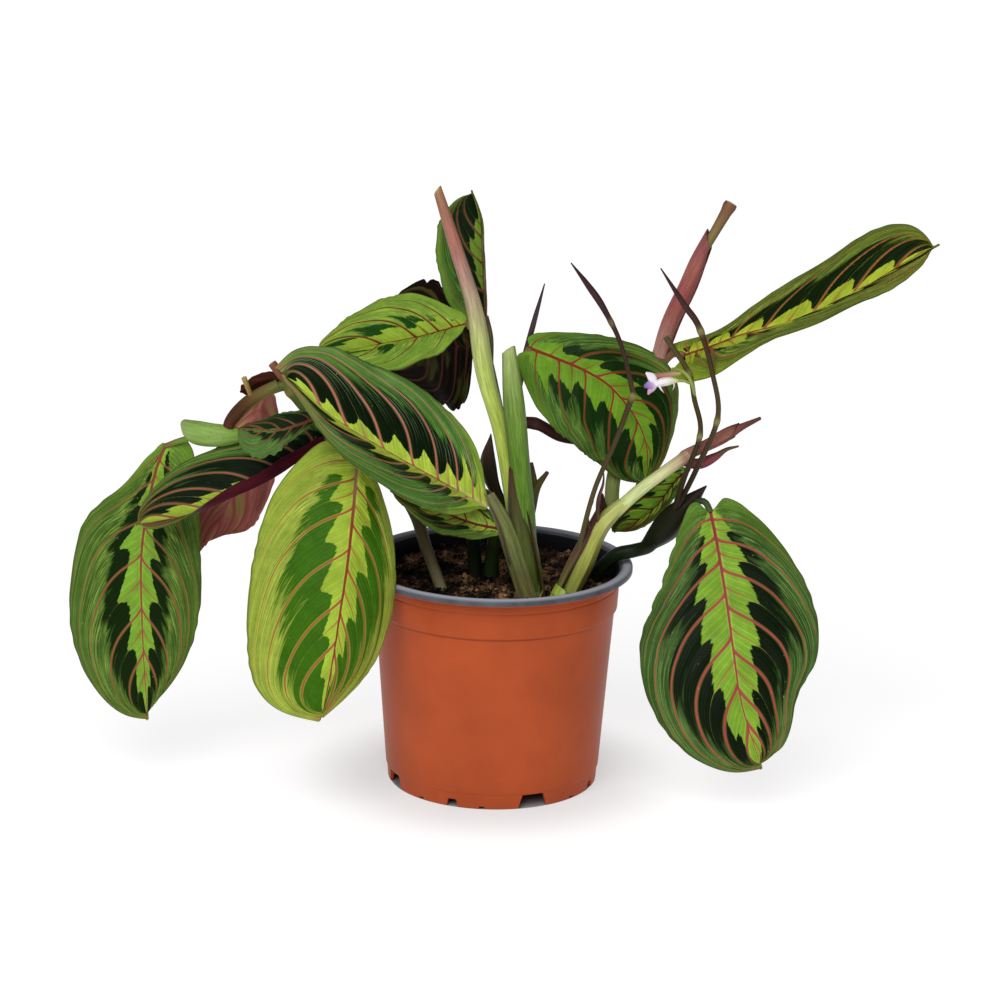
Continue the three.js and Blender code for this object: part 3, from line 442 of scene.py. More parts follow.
# Places of the blade's middle surface for share s along it and t across it, from margin to margin, with
# what the pattern needs there.
def shapeBlade(leaf, s, t, side):
    path = tracePath(leaf["midrib"])
    length = path["length"]
    reach = np.abs(t)
    onSide = lambda low, high: np.where(side < 0, low, high)
    pick = lambda key, share=s: onSide(*(smoothly(values, share) for values in bothSides(leaf[key])))
    q = np.minimum(s / 0.975, 1)
    full = np.maximum(pick("width"), 0.5) * 2 * (q * (1 - q)) ** 0.45 / 2**0.1
    tip = np.where(s > 0.9, 2.4 * np.minimum(1, (1 - s) / 0.07), 0)
    half = np.maximum(np.maximum(full, tip), 0.5)
    trim = leafBuild["scallop"] * np.sin(61 * s + 2 * side + 3 * np.sin(17 * s))
    for nickSide, place, depth, width in leaf["nicks"]:
        trim = trim - np.where(side == nickSide, depth * np.exp(-(((s - place) / width) ** 2)), 0)
    arc = np.maximum(half * reach + trim * reach**8 * np.minimum(1, half / 4), 0)
    free = (1 - np.exp(-s / 0.008)) * (1 - np.exp((s - 1) / 0.02))
    slide = pick("slide") * free
    along = s * length + slide * reach**1.5
    onPath = np.clip(along, 0, length)
    centre, forward = alongPath(path, onPath)
    centre = centre + forward * (along - onPath)[:, None]
    facing = unit(smoothly(leaf["facing"], onPath / length))
    across = unit(np.cross(facing, forward))
    normal = unit(np.cross(forward, across))
    fold = np.radians(pick("fold"))
    turn = np.radians(pick("curl")) * np.minimum(1, arc / np.maximum(full, 1e-6))
    turn = np.where(np.abs(turn) < 1e-4, 1e-4, turn)
    out = arc * (np.sin(fold + turn) - np.sin(fold)) / turn
    ripple = np.sin(7 * np.pi * s + leaf["phase"] + onSide(1.7, 0)) * np.sqrt(np.sin(np.pi * s))
    rise = arc * (np.cos(fold) - np.cos(fold + turn)) / turn + leaf["wave"] * reach**2.5 * ripple

    # lateral veins leave the midrib in a small hook and sweep forward to the margin
    sweep, hook = leaf["sweep"] * (0.1 + 1.05 * s), np.exp(-reach / 0.05)
    swept = 0.34 * reach + 0.34 * reach**3
    x = s - swept * sweep + 0.02 * hook
    xAlong = 1 - 1.05 * leaf["sweep"] * swept
    xOut = -(0.34 + 1.02 * reach**2) * sweep - 0.4 * hook
    (low, lowRate), (high, highRate) = (veinPhase(starts, x) for starts in bothSides(leaf["veins"]))
    phase, rate = onSide(low, high), onSide(lowRate, highRate)
    perAlong = rate * xAlong / length
    perOut = (rate * xOut - perAlong * 1.5 * slide * reach**0.5) / half
    perMillimetre = np.sqrt(perAlong**2 + perOut**2)
    veinCount = onSide(*(len(starts) for starts in bothSides(leaf["veins"])))
    drawn = (np.round(phase) >= 0) & (np.round(phase) < veinCount)
    fade = (np.clip((0.97 - reach) / 0.35, 0, 1) * np.clip((0.985 - s) / 0.12, 0, 1)) ** 0.6
    veinHalf = 0.5 * leaf["veinWidth"] * (1.05 - 0.6 * reach) * fade * perMillimetre
    veinHalf = np.where(drawn & (veinHalf < 0.4) & (fade > 0), veinHalf, -1)
    fromVein = np.abs(phase - np.round(phase))
    bulge = np.sin(np.pi * np.minimum(1, fromVein * 2)) * np.sin(np.pi * np.clip(reach, 0, 1)) ** 0.5
    rise = rise + leafBuild["quilting"] * bulge * np.minimum(1, half / 15) * drawn
    rise = rise - leafBuild["grooveDepth"] * np.exp(-((arc / 1.1) ** 2)) * (1 - s)**0.3
    places = centre + across * (onSide(-1, 1) * out)[:, None] + normal * rise[:, None]
    fromBase = np.clip(x, 0, 1)
    ribHalf = 0.5 * leafBuild["midribWidth"] * (1.08 - s) ** 0.7
    return places, {
        "phase": phase + onSide(0, leafBuild["sideShift"]),
        "reach": reach,
        "fromMidrib": arc / ribHalf + 25 * np.maximum(s - 0.955, 0),
        "veinHalf": veinHalf,
        "perMillimetre": perMillimetre,
        "fromBase": x,
        "limeShare": reach / pick("limeReach", fromBase),
        "blotchShare": reach / pick("blotchReach", fromBase),
    }


# The pattern's values on the face corners.
def readPattern(add, *names):
    return [add("Attribute", name, output="Fac") for name in names]


# Upper face: living maranta blade, satin with a waxy skin; the pattern follows its veins.
def upperMaterial(name, leaf):
    material, add, surface = startMaterial(name)
    phase, reach, fromMidrib, veinHalf, perMillimetre, fromBase, limeShare, blotchShare = readPattern(add,
        "phase", "reach", "fromMidrib", "veinHalf", "perMillimetre", "fromBase", "limeShare", "blotchShare")
    tone = {key: toLinear(leaf[key]) for key in (
        "margin", "marginLight", "blotch", "lime", "limeLight", "vein", "midribColour")}
    inCell = add("Math", "FRACT", [phase])
    toVein = add("Math", "PINGPONG", [phase, 0.5])
    cell = add("Math", "FLOOR", [phase])
    luck = add("TexWhiteNoise", {"noise_dimensions": "1D"}, {"W": cell})

    # fine streaks, about 0.6 mm apart, that run along the veins
    streakAcross = add("Math", "MULTIPLY", [phase, 20.0])
    streakAlong = add("Math", "MULTIPLY", [reach, 6.0])
    streakPlace = add("CombineXYZ", None, [streakAcross, streakAlong, leaf["phase"]])
    streaks = add("TexNoise", None, {"Vector": streakPlace, "Scale": 1.0, "Detail": 3.0, "Roughness": 0.6})
    broadPlace = add("VectorMath", "MULTIPLY", [streakPlace, (0.14, 0.4, 1.0)])
    broad = add("TexNoise", None, {"Vector": broadPlace, "Scale": 1.0, "Detail": 2.0})

    # fine pleats beside the veins, a little irregular, their relief also painted as light and dark lines of
    # shade, and soft mottling of the whole face
    pleat = add("Math", "MULTIPLY", [phase, leaf["pleats"]])
    pleat = add("Math", "MULTIPLY_ADD", [broad, 1.4, pleat])
    pleat = add("Math", "PINGPONG", [pleat, 0.5])
    pleat = add("MapRange", "SMOOTHSTEP", [pleat, 0, 0.5])
    depth = leaf["pleatShadeDepth"]
    pleatShade = add("MapRange", "LINEAR", [pleat, 0, 1, 1 - depth, 1 + depth])
    place = add("TexCoord", output="Object")
    mottle = add("TexNoise", None, {"Vector": place, "Scale": 110.0, "Detail": 6.0, "Roughness": 0.75})
    mottleShade = add("MapRange", "LINEAR", [mottle, 0.3, 0.7, 0.8, 1.2])

    # lime zone along the midrib: in each cell one lobe with a pointed corner, its edge finely jagged
    lobe = add("FloatCurve", None, {"Value": inCell})
    shapeCurve(lobe, leaf["limeCurve"])
    luckyLobe = add("Math", "MULTIPLY_ADD", [luck, 0.22, 0.9])
    lobe = add("Math", "MULTIPLY", [lobe, luckyLobe])
    jag = add("Math", "MULTIPLY", [phase, 6.0])
    jag = add("Math", "FRACT", [jag])
    lobe = add("Math", "MULTIPLY_ADD", [jag, 0.055, lobe])
    lobe = add("Math", "MULTIPLY_ADD", [streaks, 0.2, lobe])
    inLime = add("Math", "SUBTRACT", [lobe, limeShare])
    limeMask = add("MapRange", "SMOOTHSTEP", [inLime, 0.1, 0.16])

    # dark blotch from vein to vein beyond it, its outer end feathered along the streaks
    patch = add("FloatCurve", None, {"Value": inCell})
    shapeCurve(patch, leaf["blotchCurve"])
    patch = add("Math", "MULTIPLY_ADD", [streaks, 1.1, patch])
    ragged = add("MapRange", "LINEAR", [broad, 0.3, 0.7, -0.24, 0.24])
    patch = add("Math", "ADD", [patch, ragged])
    inPatch = add("Math", "SUBTRACT", [patch, blotchShare])
    blotchMask = add("MapRange", "SMOOTHSTEP", [inPatch, 0.46, 0.64])

    # veins, a faint halo beside them, the midrib, and in some cells a veinlet to the lobe's corner
    inVein = add("Math", "SUBTRACT", [veinHalf, toVein])
    soft = add("Math", "MULTIPLY", [perMillimetre, 0.14])
    inVein = add("Math", "DIVIDE", [inVein, soft])
    veinMask = add("MapRange", "SMOOTHSTEP", [inVein, -1.0, 1.0])
    haloMask = add("MapRange", "SMOOTHSTEP", [inVein, -4.5, 0.0])
    midribMask = add("MapRange", "SMOOTHSTEP", [fromMidrib, 1.15, 0.75])
    midribHalo = add("MapRange", "SMOOTHSTEP", [fromMidrib, 2.4, 1.0, 0, 0.45])
    veinlet = add("MapRange", "LINEAR", [limeShare, 0.2, 1.3, 0.42, 0.03])
    veinlet = add("Math", "MULTIPLY", [veinlet, perMillimetre])
    veinlet = add("Math", "COMPARE", [inCell, 0.48, veinlet])
    lucky = add("Math", "LESS_THAN", [luck, leaf["veinlets"]])
    veinlet = add("Math", "MULTIPLY", [veinlet, lucky])
    redlet = add("Math", "MULTIPLY", [veinlet, limeMask])
    redlet = add("Math", "MULTIPLY", [redlet, 0.7])
    paleThread = add("Math", "MULTIPLY", [veinlet, leaf["thread"]])
    fineLines = add("Math", "MULTIPLY", [phase, 6.0])
    fineLines = add("Math", "PINGPONG", [fineLines, 0.5])
    fineMask = add("MapRange", "SMOOTHSTEP", [fineLines, 0.15, 0.03, 0, 0.3])

    # pale streaks are strongest just beyond the blotch
    beyond = add("MapRange", "SMOOTHSTEP", [blotchShare, 1.0, 1.7, 1.0, leaf["streaky"]])
    streakShare = add("MapRange", "LINEAR", [streaks, 0.44, 0.62])
    broadShare = add("MapRange", "LINEAR", [broad, 0.32, 0.6, 0.15])
    greenShare = add("Math", "MULTIPLY", [streakShare, broadShare])
    greenShare = add("Math", "MULTIPLY", [greenShare, beyond])
    green = add("Mix", "RGBA", [greenShare, tone["margin"], tone["marginLight"]])
    greenShade = add("MapRange", "LINEAR", [streaks, 0.32, 0.68, *leaf["streakShade"]])
    green = add("VectorMath", "SCALE", {0: green, "Scale": greenShade})
    nearBase = add("MapRange", "SMOOTHSTEP", [fromBase, 0.1, -0.08, 0, leaf["paleBase"]])
    green = add("Mix", "RGBA", [nearBase, green, tone["lime"]])
    dark = add("Mix", "RGBA", [blotchMask, green, tone["blotch"]])
    # painted shade of the pleats' relief
    dark = add("VectorMath", "SCALE", {0: dark, "Scale": pleatShade})
    dark = add("Mix", "RGBA", [paleThread, dark, tone["limeLight"]])
    # painted sheen: pale lines on the pleat ridges, in patches over the outer part of the blotch, for
    # reflected light
    sheen = add("MapRange", "SMOOTHSTEP", [pleat, 0.7, 0.97, 0, leaf["sheen"]])
    outer = add("MapRange", "SMOOTHSTEP", [blotchShare, 0.3, 0.85])
    sheen = add("Math", "MULTIPLY", [sheen, outer])
    sheenPatches = add("MapRange", "SMOOTHSTEP", [broad, 0.42, 0.6])
    sheen = add("Math", "MULTIPLY", [sheen, sheenPatches])
    dark = add("Mix", "RGBA", [sheen, dark, toLinear("#8fa886")])
    limeShade = add("MapRange", "LINEAR", [broad, 0.3, 0.7, 0.82, 1.08])
    lime = add("Mix", "RGBA", [fineMask, tone["lime"], tone["limeLight"]])
    lime = add("Mix", "RGBA", [midribHalo, lime, tone["limeLight"]])
    lime = add("VectorMath", "SCALE", {0: lime, "Scale": limeShade})
    patterned = add("Mix", "RGBA", [limeMask, dark, lime])
    patterned = add("VectorMath", "SCALE", {0: patterned, "Scale": mottleShade})
    haloShare = add("Math", "MULTIPLY", [haloMask, leaf["halo"]])
    patterned = add("Mix", "RGBA", [haloShare, patterned, tone["limeLight"]])
    patterned = add("Mix", "RGBA", [redlet, patterned, tone["vein"]])
    veinShade = add("MapRange", "LINEAR", [broad, 0.25, 0.75, 0.8, 1.15])
    veinTone = add("VectorMath", "SCALE", {0: tone["vein"][:3], "Scale": veinShade})
    veined = add("Mix", "RGBA", [veinMask, patterned, veinTone])
    paleRib = add("MapRange", "SMOOTHSTEP", [fromBase, 0.3, 0.04, 0, leaf["paleMidrib"]])
    ribTone = add("Mix", "RGBA", [paleRib, tone["midribColour"], toLinear("#d8d49a")])
    whole = add("Mix", "RGBA", [midribMask, veined, ribTone])

    # a thin darker line along the margin, and a few pale specks
    atMargin = add("MapRange", "SMOOTHSTEP", [reach, 0.965, 0.995, 0, 0.55])
    whole = add("Mix", "RGBA", [atMargin, whole, toLinear("#43381c")])
    speck = add("TexNoise", None, {"Vector": place, "Scale": 620.0, "Detail": 1.0})
    speckMask = add("MapRange", "SMOOTHSTEP", [speck, 0.76, 0.82, 0, leaf["specks"]])
    whole = add("Mix", "RGBA", [speckMask, whole, toLinear("#b9c496")])

    relief = add("Math", "MULTIPLY_ADD", [veinMask, -0.8, streaks])
    relief = add("Math", "MULTIPLY_ADD", [pleat, leaf["pleatBump"], relief])
    bump = add("Bump", None, {"Height": relief, "Strength": 0.5, "Distance": 0.3 * mm})
    gloss = add("MapRange", "LINEAR", [streaks, 0, 1, 0.36, 0.5])
    feed(surface, {"Base Color": whole, "Normal": bump, "Roughness": gloss, "IOR": 1.45,
        "Specular IOR Level": 0.08})
    return material


# Underside: duller, purple-red to pinkish, its veins a little darker.
def underMaterial(name, leaf):
    material, add, surface = startMaterial(name)
    phase, reach, veinHalf, perMillimetre = readPattern(add, "phase", "reach", "veinHalf", "perMillimetre")
    toVein = add("Math", "PINGPONG", [phase, 0.5])
    inVein = add("Math", "SUBTRACT", [veinHalf, toVein])
    inVein = add("Math", "DIVIDE", [inVein, perMillimetre])
    veinMask = add("MapRange", "SMOOTHSTEP", [inVein, -0.25, 0.1, 0, 0.75])
    across = add("Math", "MULTIPLY", [phase, 9.0])
    place = add("CombineXYZ", None, [across, reach, leaf["phase"]])
    mottle = add("TexNoise", None, {"Vector": place, "Scale": 1.3, "Detail": 4.0, "Roughness": 0.6})
    patches = add("VectorMath", "MULTIPLY", [place, (0.12, 1.6, 1.0)])
    patches = add("TexNoise", None, {"Vector": patches, "Scale": 1.2, "Detail": 3.0})
    both = add("Math", "MULTIPLY_ADD", [mottle, 0.5, patches])
    share = add("MapRange", "LINEAR", [both, 0.5, 1.0])
    deep, light = shaded(leaf["underside"], 0.5), shaded(leaf["underside"], 1.35)
    base = add("Mix", "RGBA", [share, deep, light])
    greenish = add("MapRange", "SMOOTHSTEP", [patches, 0.52, 0.68, 0, leaf["greenPatches"]])
    base = add("Mix", "RGBA", [greenish, base, toLinear("#8a9a3c")])
    veined = add("Mix", "RGBA", [veinMask, base, toLinear(leaf["underVein"])])
    relief = add("Math", "ADD", [veinMask, mottle])
    bump = add("Bump", None, {"Height": relief, "Strength": 0.3, "Distance": 0.3 * mm})
    feed(surface, {"Base Color": veined, "Normal": bump, "Roughness": 0.6, "Specular IOR Level": 0.06})
    return material


def makeLeaf(name, leaf):
    leaf = {**leafDefaults, "midribColour": leaf["vein"], **leaf}
    length = tracePath(leaf["midrib"])["length"]
    rows = int(length / leafBuild["rowLength"])
    bpy.ops.object.select_all(action="DESELECT")
    bpy.ops.mesh.primitive_grid_add(x_subdivisions=leafBuild["columns"], y_subdivisions=rows, size=2)
    blade = bpy.context.object
    mesh = blade.data
    flat = np.zeros(len(mesh.vertices) * 3)
    mesh.vertices.foreach_get("co", flat)
    flat = flat.reshape(-1, 3)
    s = 0.5 - 0.5 * np.cos(np.pi * (flat[:, 1] + 1) / 2)
    t = -np.sign(flat[:, 0]) * np.abs(flat[:, 0]) ** 1.2
    places, _ = shapeBlade(leaf, s, t, np.where(t < 0, -1, 1))
    mesh.vertices.foreach_set("co", (places * mm).ravel())

    # the pattern's values sit on face corners, so the two halves stay apart at the midrib
    corner = np.zeros(len(mesh.loops), int)
    mesh.loops.foreach_get("vertex_index", corner)
    faceSide = np.repeat([np.sign(sum(t[v] for v in face.vertices)) for face in mesh.polygons], 4)
    _, values = shapeBlade(leaf, s[corner], t[corner], faceSide)
    for key, value in values.items():
        mesh.attributes.new(key, "FLOAT", "CORNER").data.foreach_set("value", value.astype(np.float32))
    mesh.materials.append(upperMaterial(name + " upper face", leaf))
    mesh.materials.append(underMaterial(name + " underside", leaf))
    thick = blade.vertex_groups.new(name="thick")
    for k in range(len(mesh.vertices)):
        thick.add([k], float(1 - leafBuild["thinning"] * abs(t[k]) ** 3), "REPLACE")
    applyModifier(blade, "thickness", "SOLIDIFY", thickness=leafBuild["thickness"] * mm, offset=0,
        vertex_group="thick", material_offset=1)
    bpy.ops.object.shade_smooth_by_angle(angle=math.radians(leafBuild["smoothAngle"]))
    finishPiece(blade, name + "_blade", name)


leafSlots = {
    "leaf_dark": ["leaf_front_right", "leaf_front_dark", "leaf_left_folded", "leaf_right_centre",
        "leaf_far_left", "leaf_far_right", "leaf_left_curled"],
    "leaf_lime": ["leaf_front_left", "leaf_upper_left", "leaf_low_centre", "leaf_right_low", "leaf_top"],
    "leaf_underside": ["leaf_rear_dark", "leaf_left_small", "leaf_left_rear"],
}
for slot, names in leafSlots.items():
    for name in names:
        makeLeaf(name, leaves[name])

print("stems")

stemBuild = {
    "sides": 18,
    "ringStep": 1.3,
    "grainLength": 26,  # of the long streaks in the skin
    "grainAcross": 2.2,  # streaks across a stem's half width
    "grainShift": 0.01,  # from one stem to the next, so that no two have the same streaks
    "jointLength": 1.6,
    "sheathSides": 25,
    "sheathStep": 0.9,
    "sheathWall": 0.45,
    "towardViewer": (0.1, -0.95, 0.3),
    "smoothAngle": 50,
}


def newBag():
    return {"points": [], "faces": [], "tint": [], "grain": []}


# The colours at each share of a length.
def blend(colours, share):
    return smoothly([toLinear(c)[:3] for c in colours], share).clip(0, 1)


# The directions to the right and to the front of a path at each of its steps, without a twist.
def sideways(forward):
    right = np.cross(forward[0], stemBuild["towardViewer"])
    for onward in forward:
        right = right - onward * (right @ onward)
        right = right / np.linalg.norm(right)
        yield right, np.cross(right, onward)


def addRings(bag, rings, tints, grains):
    start = len(bag["points"])
    count, sides = len(rings), len(rings[0])
    for ring, tint, grain in zip(rings, tints, grains):
        bag["points"].extend(ring)
        bag["tint"].extend(tint)
        bag["grain"].extend(grain)
    for i in range(count - 1):
        for j in range(sides):
            a, b = start + i * sides + j, start + i * sides + (j + 1) % sides
            bag["faces"].append((a, b, b + sides, a + sides))
    bag["faces"].append(tuple(start + j for j in reversed(range(sides))))
    bag["faces"].append(tuple(start + (count - 1) * sides + j for j in range(sides)))


# A stem along a path. Ridges run along it; each joint is a swelling with a scar line: place, swelling,
# colour. A flattened one is narrower from side to side, and a slanted one is cut at a slant. The tints run
# from its start to its end, and the shade tints are on the side that looks away from the viewer: painted
# shade, partly the stem's own darker colour there.
def addStem(bag, path, radius, tints, shade=None, ridges=0, ridgeDepth=0.06, joints=(), end=None,
        flatten=1.0, slant=0.0):
    line = tracePath(path)
    rings = max(6, int(line["length"] / stemBuild["ringStep"]))
    sides = stemBuild["sides"]
    share = np.linspace(0, 1, rings + 1)
    places, forward = alongPath(line, share * line["length"])
    size = smoothly(radius, share)
    ink, back = blend(tints, share), blend(shade or tints, share)
    for where, swell, colour in joints:
        near = np.exp(-(((share - where) * line["length"] / stemBuild["jointLength"]) ** 2))
        size = size * (1 + swell * near)
        if colour:
            ink = ink + (rgb(colour) - ink) * (near * 0.8)[:, None]
            back = back + (rgb(colour) - back) * (near * 0.8)[:, None]
    angle = np.linspace(0, 2 * np.pi, sides, endpoint=False)
    wobble = 1 + ridgeDepth * np.cos(ridges * angle) if ridges else np.ones(sides)
    # painted shade: the side towards the viewer takes the tints, the side away from it the shade tints
    facing = np.clip(0.5 + 0.5 * np.sin(angle), 0, 1)[:, None]
    across, shift = stemBuild["grainAcross"], len(bag["points"]) * stemBuild["grainShift"]
    ringList, tintList, grainList = [], [], []
    for i, (right, front) in enumerate(sideways(forward)):
        around = np.outer(np.cos(angle), right) * flatten + np.outer(np.sin(angle), front)
        ring = places[i] + around * (size[i] * wobble)[:, None]
        ringList.append(ring + forward[i] * (slant * share[i]**8 * np.cos(angle))[:, None])
        tintList.append(back[i] + (ink[i] - back[i]) * facing)
        lengthwise = share[i] * line["length"] / stemBuild["grainLength"] + shift
        grainList.append(np.stack([across * np.cos(angle), across * np.sin(angle),
            np.full(sides, lengthwise)], 1))
    # the end is cut square with a rounded edge
    last = ringList[-1]
    for shrink, forth in ((0.92, 0.25), (0.78, 0.32), (0.3, 0.2)):
        centre = last.mean(0)
        ringList.append(centre + (last - centre) * shrink + forward[-1] * forth)
        tintList.append(np.tile(rgb(end), (sides, 1)) if end and shrink < 0.9 else tintList[-1])
        grainList.append(grainList[-1])
    addRings(bag, ringList, tintList, grainList)


# A thin curled sheath: a sheet rolled about a path. The roll opens from its first to its second angle.
def addSheath(bag, path, radius, tints, inside, opens, turned, lip=0.0, edge=None):
    line = tracePath(path)
    rings = max(8, int(line["length"] / stemBuild["sheathStep"]))
    share = np.linspace(0, 1, rings + 1)
    places, forward = alongPath(line, share * line["length"])
    size, gap, ink = smoothly(radius, share), smoothly(opens, share), blend(tints, share)
    inner = rgb(inside)
    count = stemBuild["sheathSides"]
    roll = np.linspace(-0.5, 0.5, count)
    nearEdge = np.clip((np.abs(roll) - 0.42) / 0.08, 0, 1)[:, None]
    start = len(bag["points"])
    shift = start * stemBuild["grainShift"]
    for layer in (0, 1):
        for i, (right, front) in enumerate(sideways(forward)):
            spread = np.linspace(gap[i] / 2, 2 * math.pi - gap[i] / 2, count) + turned
            spiral = 1 + 0.16 * np.clip(1 - gap[i] / 0.6, 0, 1) * roll
            reach = (size[i] - layer * stemBuild["sheathWall"]) * spiral
            ring = places[i] + np.outer(np.cos(spread) * reach, right)
            ring = ring + np.outer(np.sin(spread) * reach, front)
            ring = ring - forward[i] * (lip * share[i]**4 * (2 * np.abs(roll))**1.5)[:, None]
            bag["points"].extend(ring)
            colour = np.tile(inner if layer else ink[i], (count, 1))
            bag["tint"].extend(colour + (rgb(edge) - colour) * nearEdge if edge else colour)
            lengthwise = share[i] * line["length"] / stemBuild["grainLength"] + shift
            bag["grain"].extend(np.stack([2 * np.cos(spread), 2 * np.sin(spread),
                np.full(count, lengthwise)], 1))
    corner = lambda i, j, layer: start + (layer * (rings + 1) + i) * count + j
    addFace = lambda *corners: bag["faces"].append(tuple(corner(*place) for place in corners))
    for i in range(rings):
        for j in range(count - 1):
            addFace((i, j, 0), (i, j + 1, 0), (i + 1, j + 1, 0), (i + 1, j, 0))
            addFace((i, j, 1), (i + 1, j, 1), (i + 1, j + 1, 1), (i, j + 1, 1))
        for j, turn in ((0, 1), (count - 1, -1)):
            addFace(*((i, j, 0), (i + 1, j, 0), (i + 1, j, 1), (i, j, 1))[::turn])
    for j in range(count - 1):
        for i, turn in ((0, 1), (rings, -1)):
            addFace(*((i, j, 0), (i, j, 1), (i, j + 1, 1), (i, j + 1, 0))[::turn])


# Living stem skin: satin, with long pale and dark streaks and a few small spots.
def stemMaterial(name, streakDepth, roughness, spots=0.0):
    material, add, surface = startMaterial(name)
    tint = add("Attribute", "tint", output="Color")
    grain = add("Attribute", "grain", output="Vector")
    long = add("TexNoise", None, {"Vector": grain, "Scale": 2.4, "Detail": 4.0, "Roughness": 0.65})
    fine = add("VectorMath", "MULTIPLY", [grain, (5.0, 5.0, 2.5)])
    fine = add("TexNoise", None, {"Vector": fine, "Scale": 1.5, "Detail": 2.0})
    place = add("TexCoord", output="Object")
    speck = add("TexNoise", None, {"Vector": place, "Scale": 900.0, "Detail": 1.0})
    speckMask = add("MapRange", "SMOOTHSTEP", [speck, 0.66, 0.72, 0, spots])
    both = add("Math", "MULTIPLY_ADD", [fine, 0.5, long])
    bright = add("MapRange", "LINEAR", [both, 0.5, 1.0, 1 - streakDepth, 1 + streakDepth])
    streaked = add("VectorMath", "SCALE", {0: tint, "Scale": bright})
    spotted = add("Mix", "RGBA", [speckMask, streaked, toLinear("#2c2418")])
    bump = add("Bump", None, {"Height": both, "Strength": 0.4, "Distance": 0.3 * mm})
    feed(surface, {"Base Color": spotted, "Normal": bump, "Roughness": roughness, "IOR": 1.45,
        "Specular IOR Level": 0.15})
    return material


def makeFromBag(bag, name, node, material):
    piece = meshPiece(name, bag["points"], bag["faces"])
    tint = np.hstack([np.array(bag["tint"]), np.ones((len(bag["tint"]), 1))]).astype(np.float32)
    piece.data.attributes.new("tint", "FLOAT_COLOR", "POINT").data.foreach_set("color", tint.ravel())
    grain = np.array(bag["grain"]).astype(np.float32)
    piece.data.attributes.new("grain", "FLOAT_VECTOR", "POINT").data.foreach_set("vector", grain.ravel())
    choose(piece)
    bpy.ops.object.mode_set(mode="EDIT")
    bpy.ops.mesh.select_all(action="SELECT")
    bpy.ops.mesh.normals_make_consistent(inside=False)
    bpy.ops.object.mode_set(mode="OBJECT")
    bpy.ops.object.shade_smooth_by_angle(angle=math.radians(stemBuild["smoothAngle"]))
    finishPiece(piece, name, node, [material])


# The old petiole on the left, its side branch with a rolled sheath, and the stalks of its blades.
leftStem = newBag()
addStem(leftStem,
    [[-21, -9, 76], [-23, -7, 86], [-30, -4, 104], [-35, -2, 119], [-42, -2, 130], [-53, -3, 140],
    [-66, -6, 151], [-81, -8, 166], [-91, -8, 178]], [2.7, 2.6, 2.6, 2.8, 2.9, 3, 3, 2.8, 2.6],
    ["#a7a180", "#928b66", "#645b3c", "#514d31", "#5c6738", "#626d36", "#657134", "#5e6b31", "#626b31"],
    shade=["#5c5745", "#514b38", "#383127", "#343123", "#515934", "#515d2f", "#515b2b", "#4a5627",
    "#515727"], ridges=7, ridgeDepth=0.05, joints=[(0.97, 0.25, "#968b45")])
addStem(leftStem,
    [[-91, -8, 178], [-100, -8, 174], [-108, -8, 168], [-114, -8, 162], [-116, -8, 156]],
    [2.4, 2.1, 1.9, 2.1, 2.4], ["#5c6430", "#7a7c3c", "#5c4c2c", "#5c3a2a", "#9a9a6a"],
    shade=["#2f3018", "#2c2414", "#2c1c14", "#3a241c", "#6a6a44"], ridges=5)
addSheath(leftStem,
    [[-94, -8, 177.5], [-102, -8, 173], [-109, -8, 167.5], [-114.5, -8, 161], [-116, -8, 155.5]],
    [2.8, 3.2, 3.5, 3.3, 2.6], ["#6a7038", "#6e5c30", "#54391f", "#4a2c1a", "#54301f"], "#2c160c",
    [2.2, 2.4, 2.2, 1.8, 1.2], 3.6, lip=3, edge="#8a8a4c")
addStem(leftStem, [[-91, -8, 179], [-97, -8, 187]], [2.1, 1.9], ["#6a5030", "#84503f"], end="#a88a5c")
addStem(leftStem, [[-105, -9, 170], [-109, -10, 181]], [1, 1.2], ["#7a6a3a", "#a88f4c"],
    end="#c9b47a")
addStem(leftStem, [[-53, -3, 140], [-57, -14, 147], [-59, -27, 153], [-59, -34, 154]],
    [1.6, 1.4, 1.3, 1.4], ["#5f7440", "#74803c", "#8a8f40", "#8a5a3c"], joints=[(0.86, 0.25, "#a09a4a")])
addStem(leftStem, [[-70, -7, 155], [-72, -11, 156], [-74, -14, 155]], [1.6, 1.4, 1.3],
    ["#5d7038", "#6a5a38", "#7a3f44"], joints=[(0.8, 0.2, "#8a5a4a")])
addStem(leftStem, [[-78, -8, 163], [-77, -15, 167], [-77, -22, 167]], [1.4, 1.2, 1],
    ["#5d7038", "#6a7038", "#7a5a3c"])
addStem(leftStem, [[-103, -8, 174], [-103, 0, 173], [-102, 8, 168]], [1.4, 1.2, 1],
    ["#6b4a34", "#7a4a3c", "#8a4a40"])
addStem(leftStem, [[-126, -6, 154], [-136, -2, 151], [-144, 2, 147]], [1.6, 1.3, 1.2],
    ["#7a8f44", "#6f8a3c", "#7a5a3c"])
addSheath(leftStem,
    [[-109, -8, 155.2], [-115, -8, 155], [-123, -8, 155], [-130, -8, 156], [-137, -8, 158]],
    [2.6, 4.4, 5.1, 5.2, 4.2], ["#779840", "#84a54d", "#8eb159", "#89aa52", "#8da360"], "#6a7651",
    [0.3, 0.3, 0.3, 0.4, 0.6], 4.2, lip=9, edge="#868977")

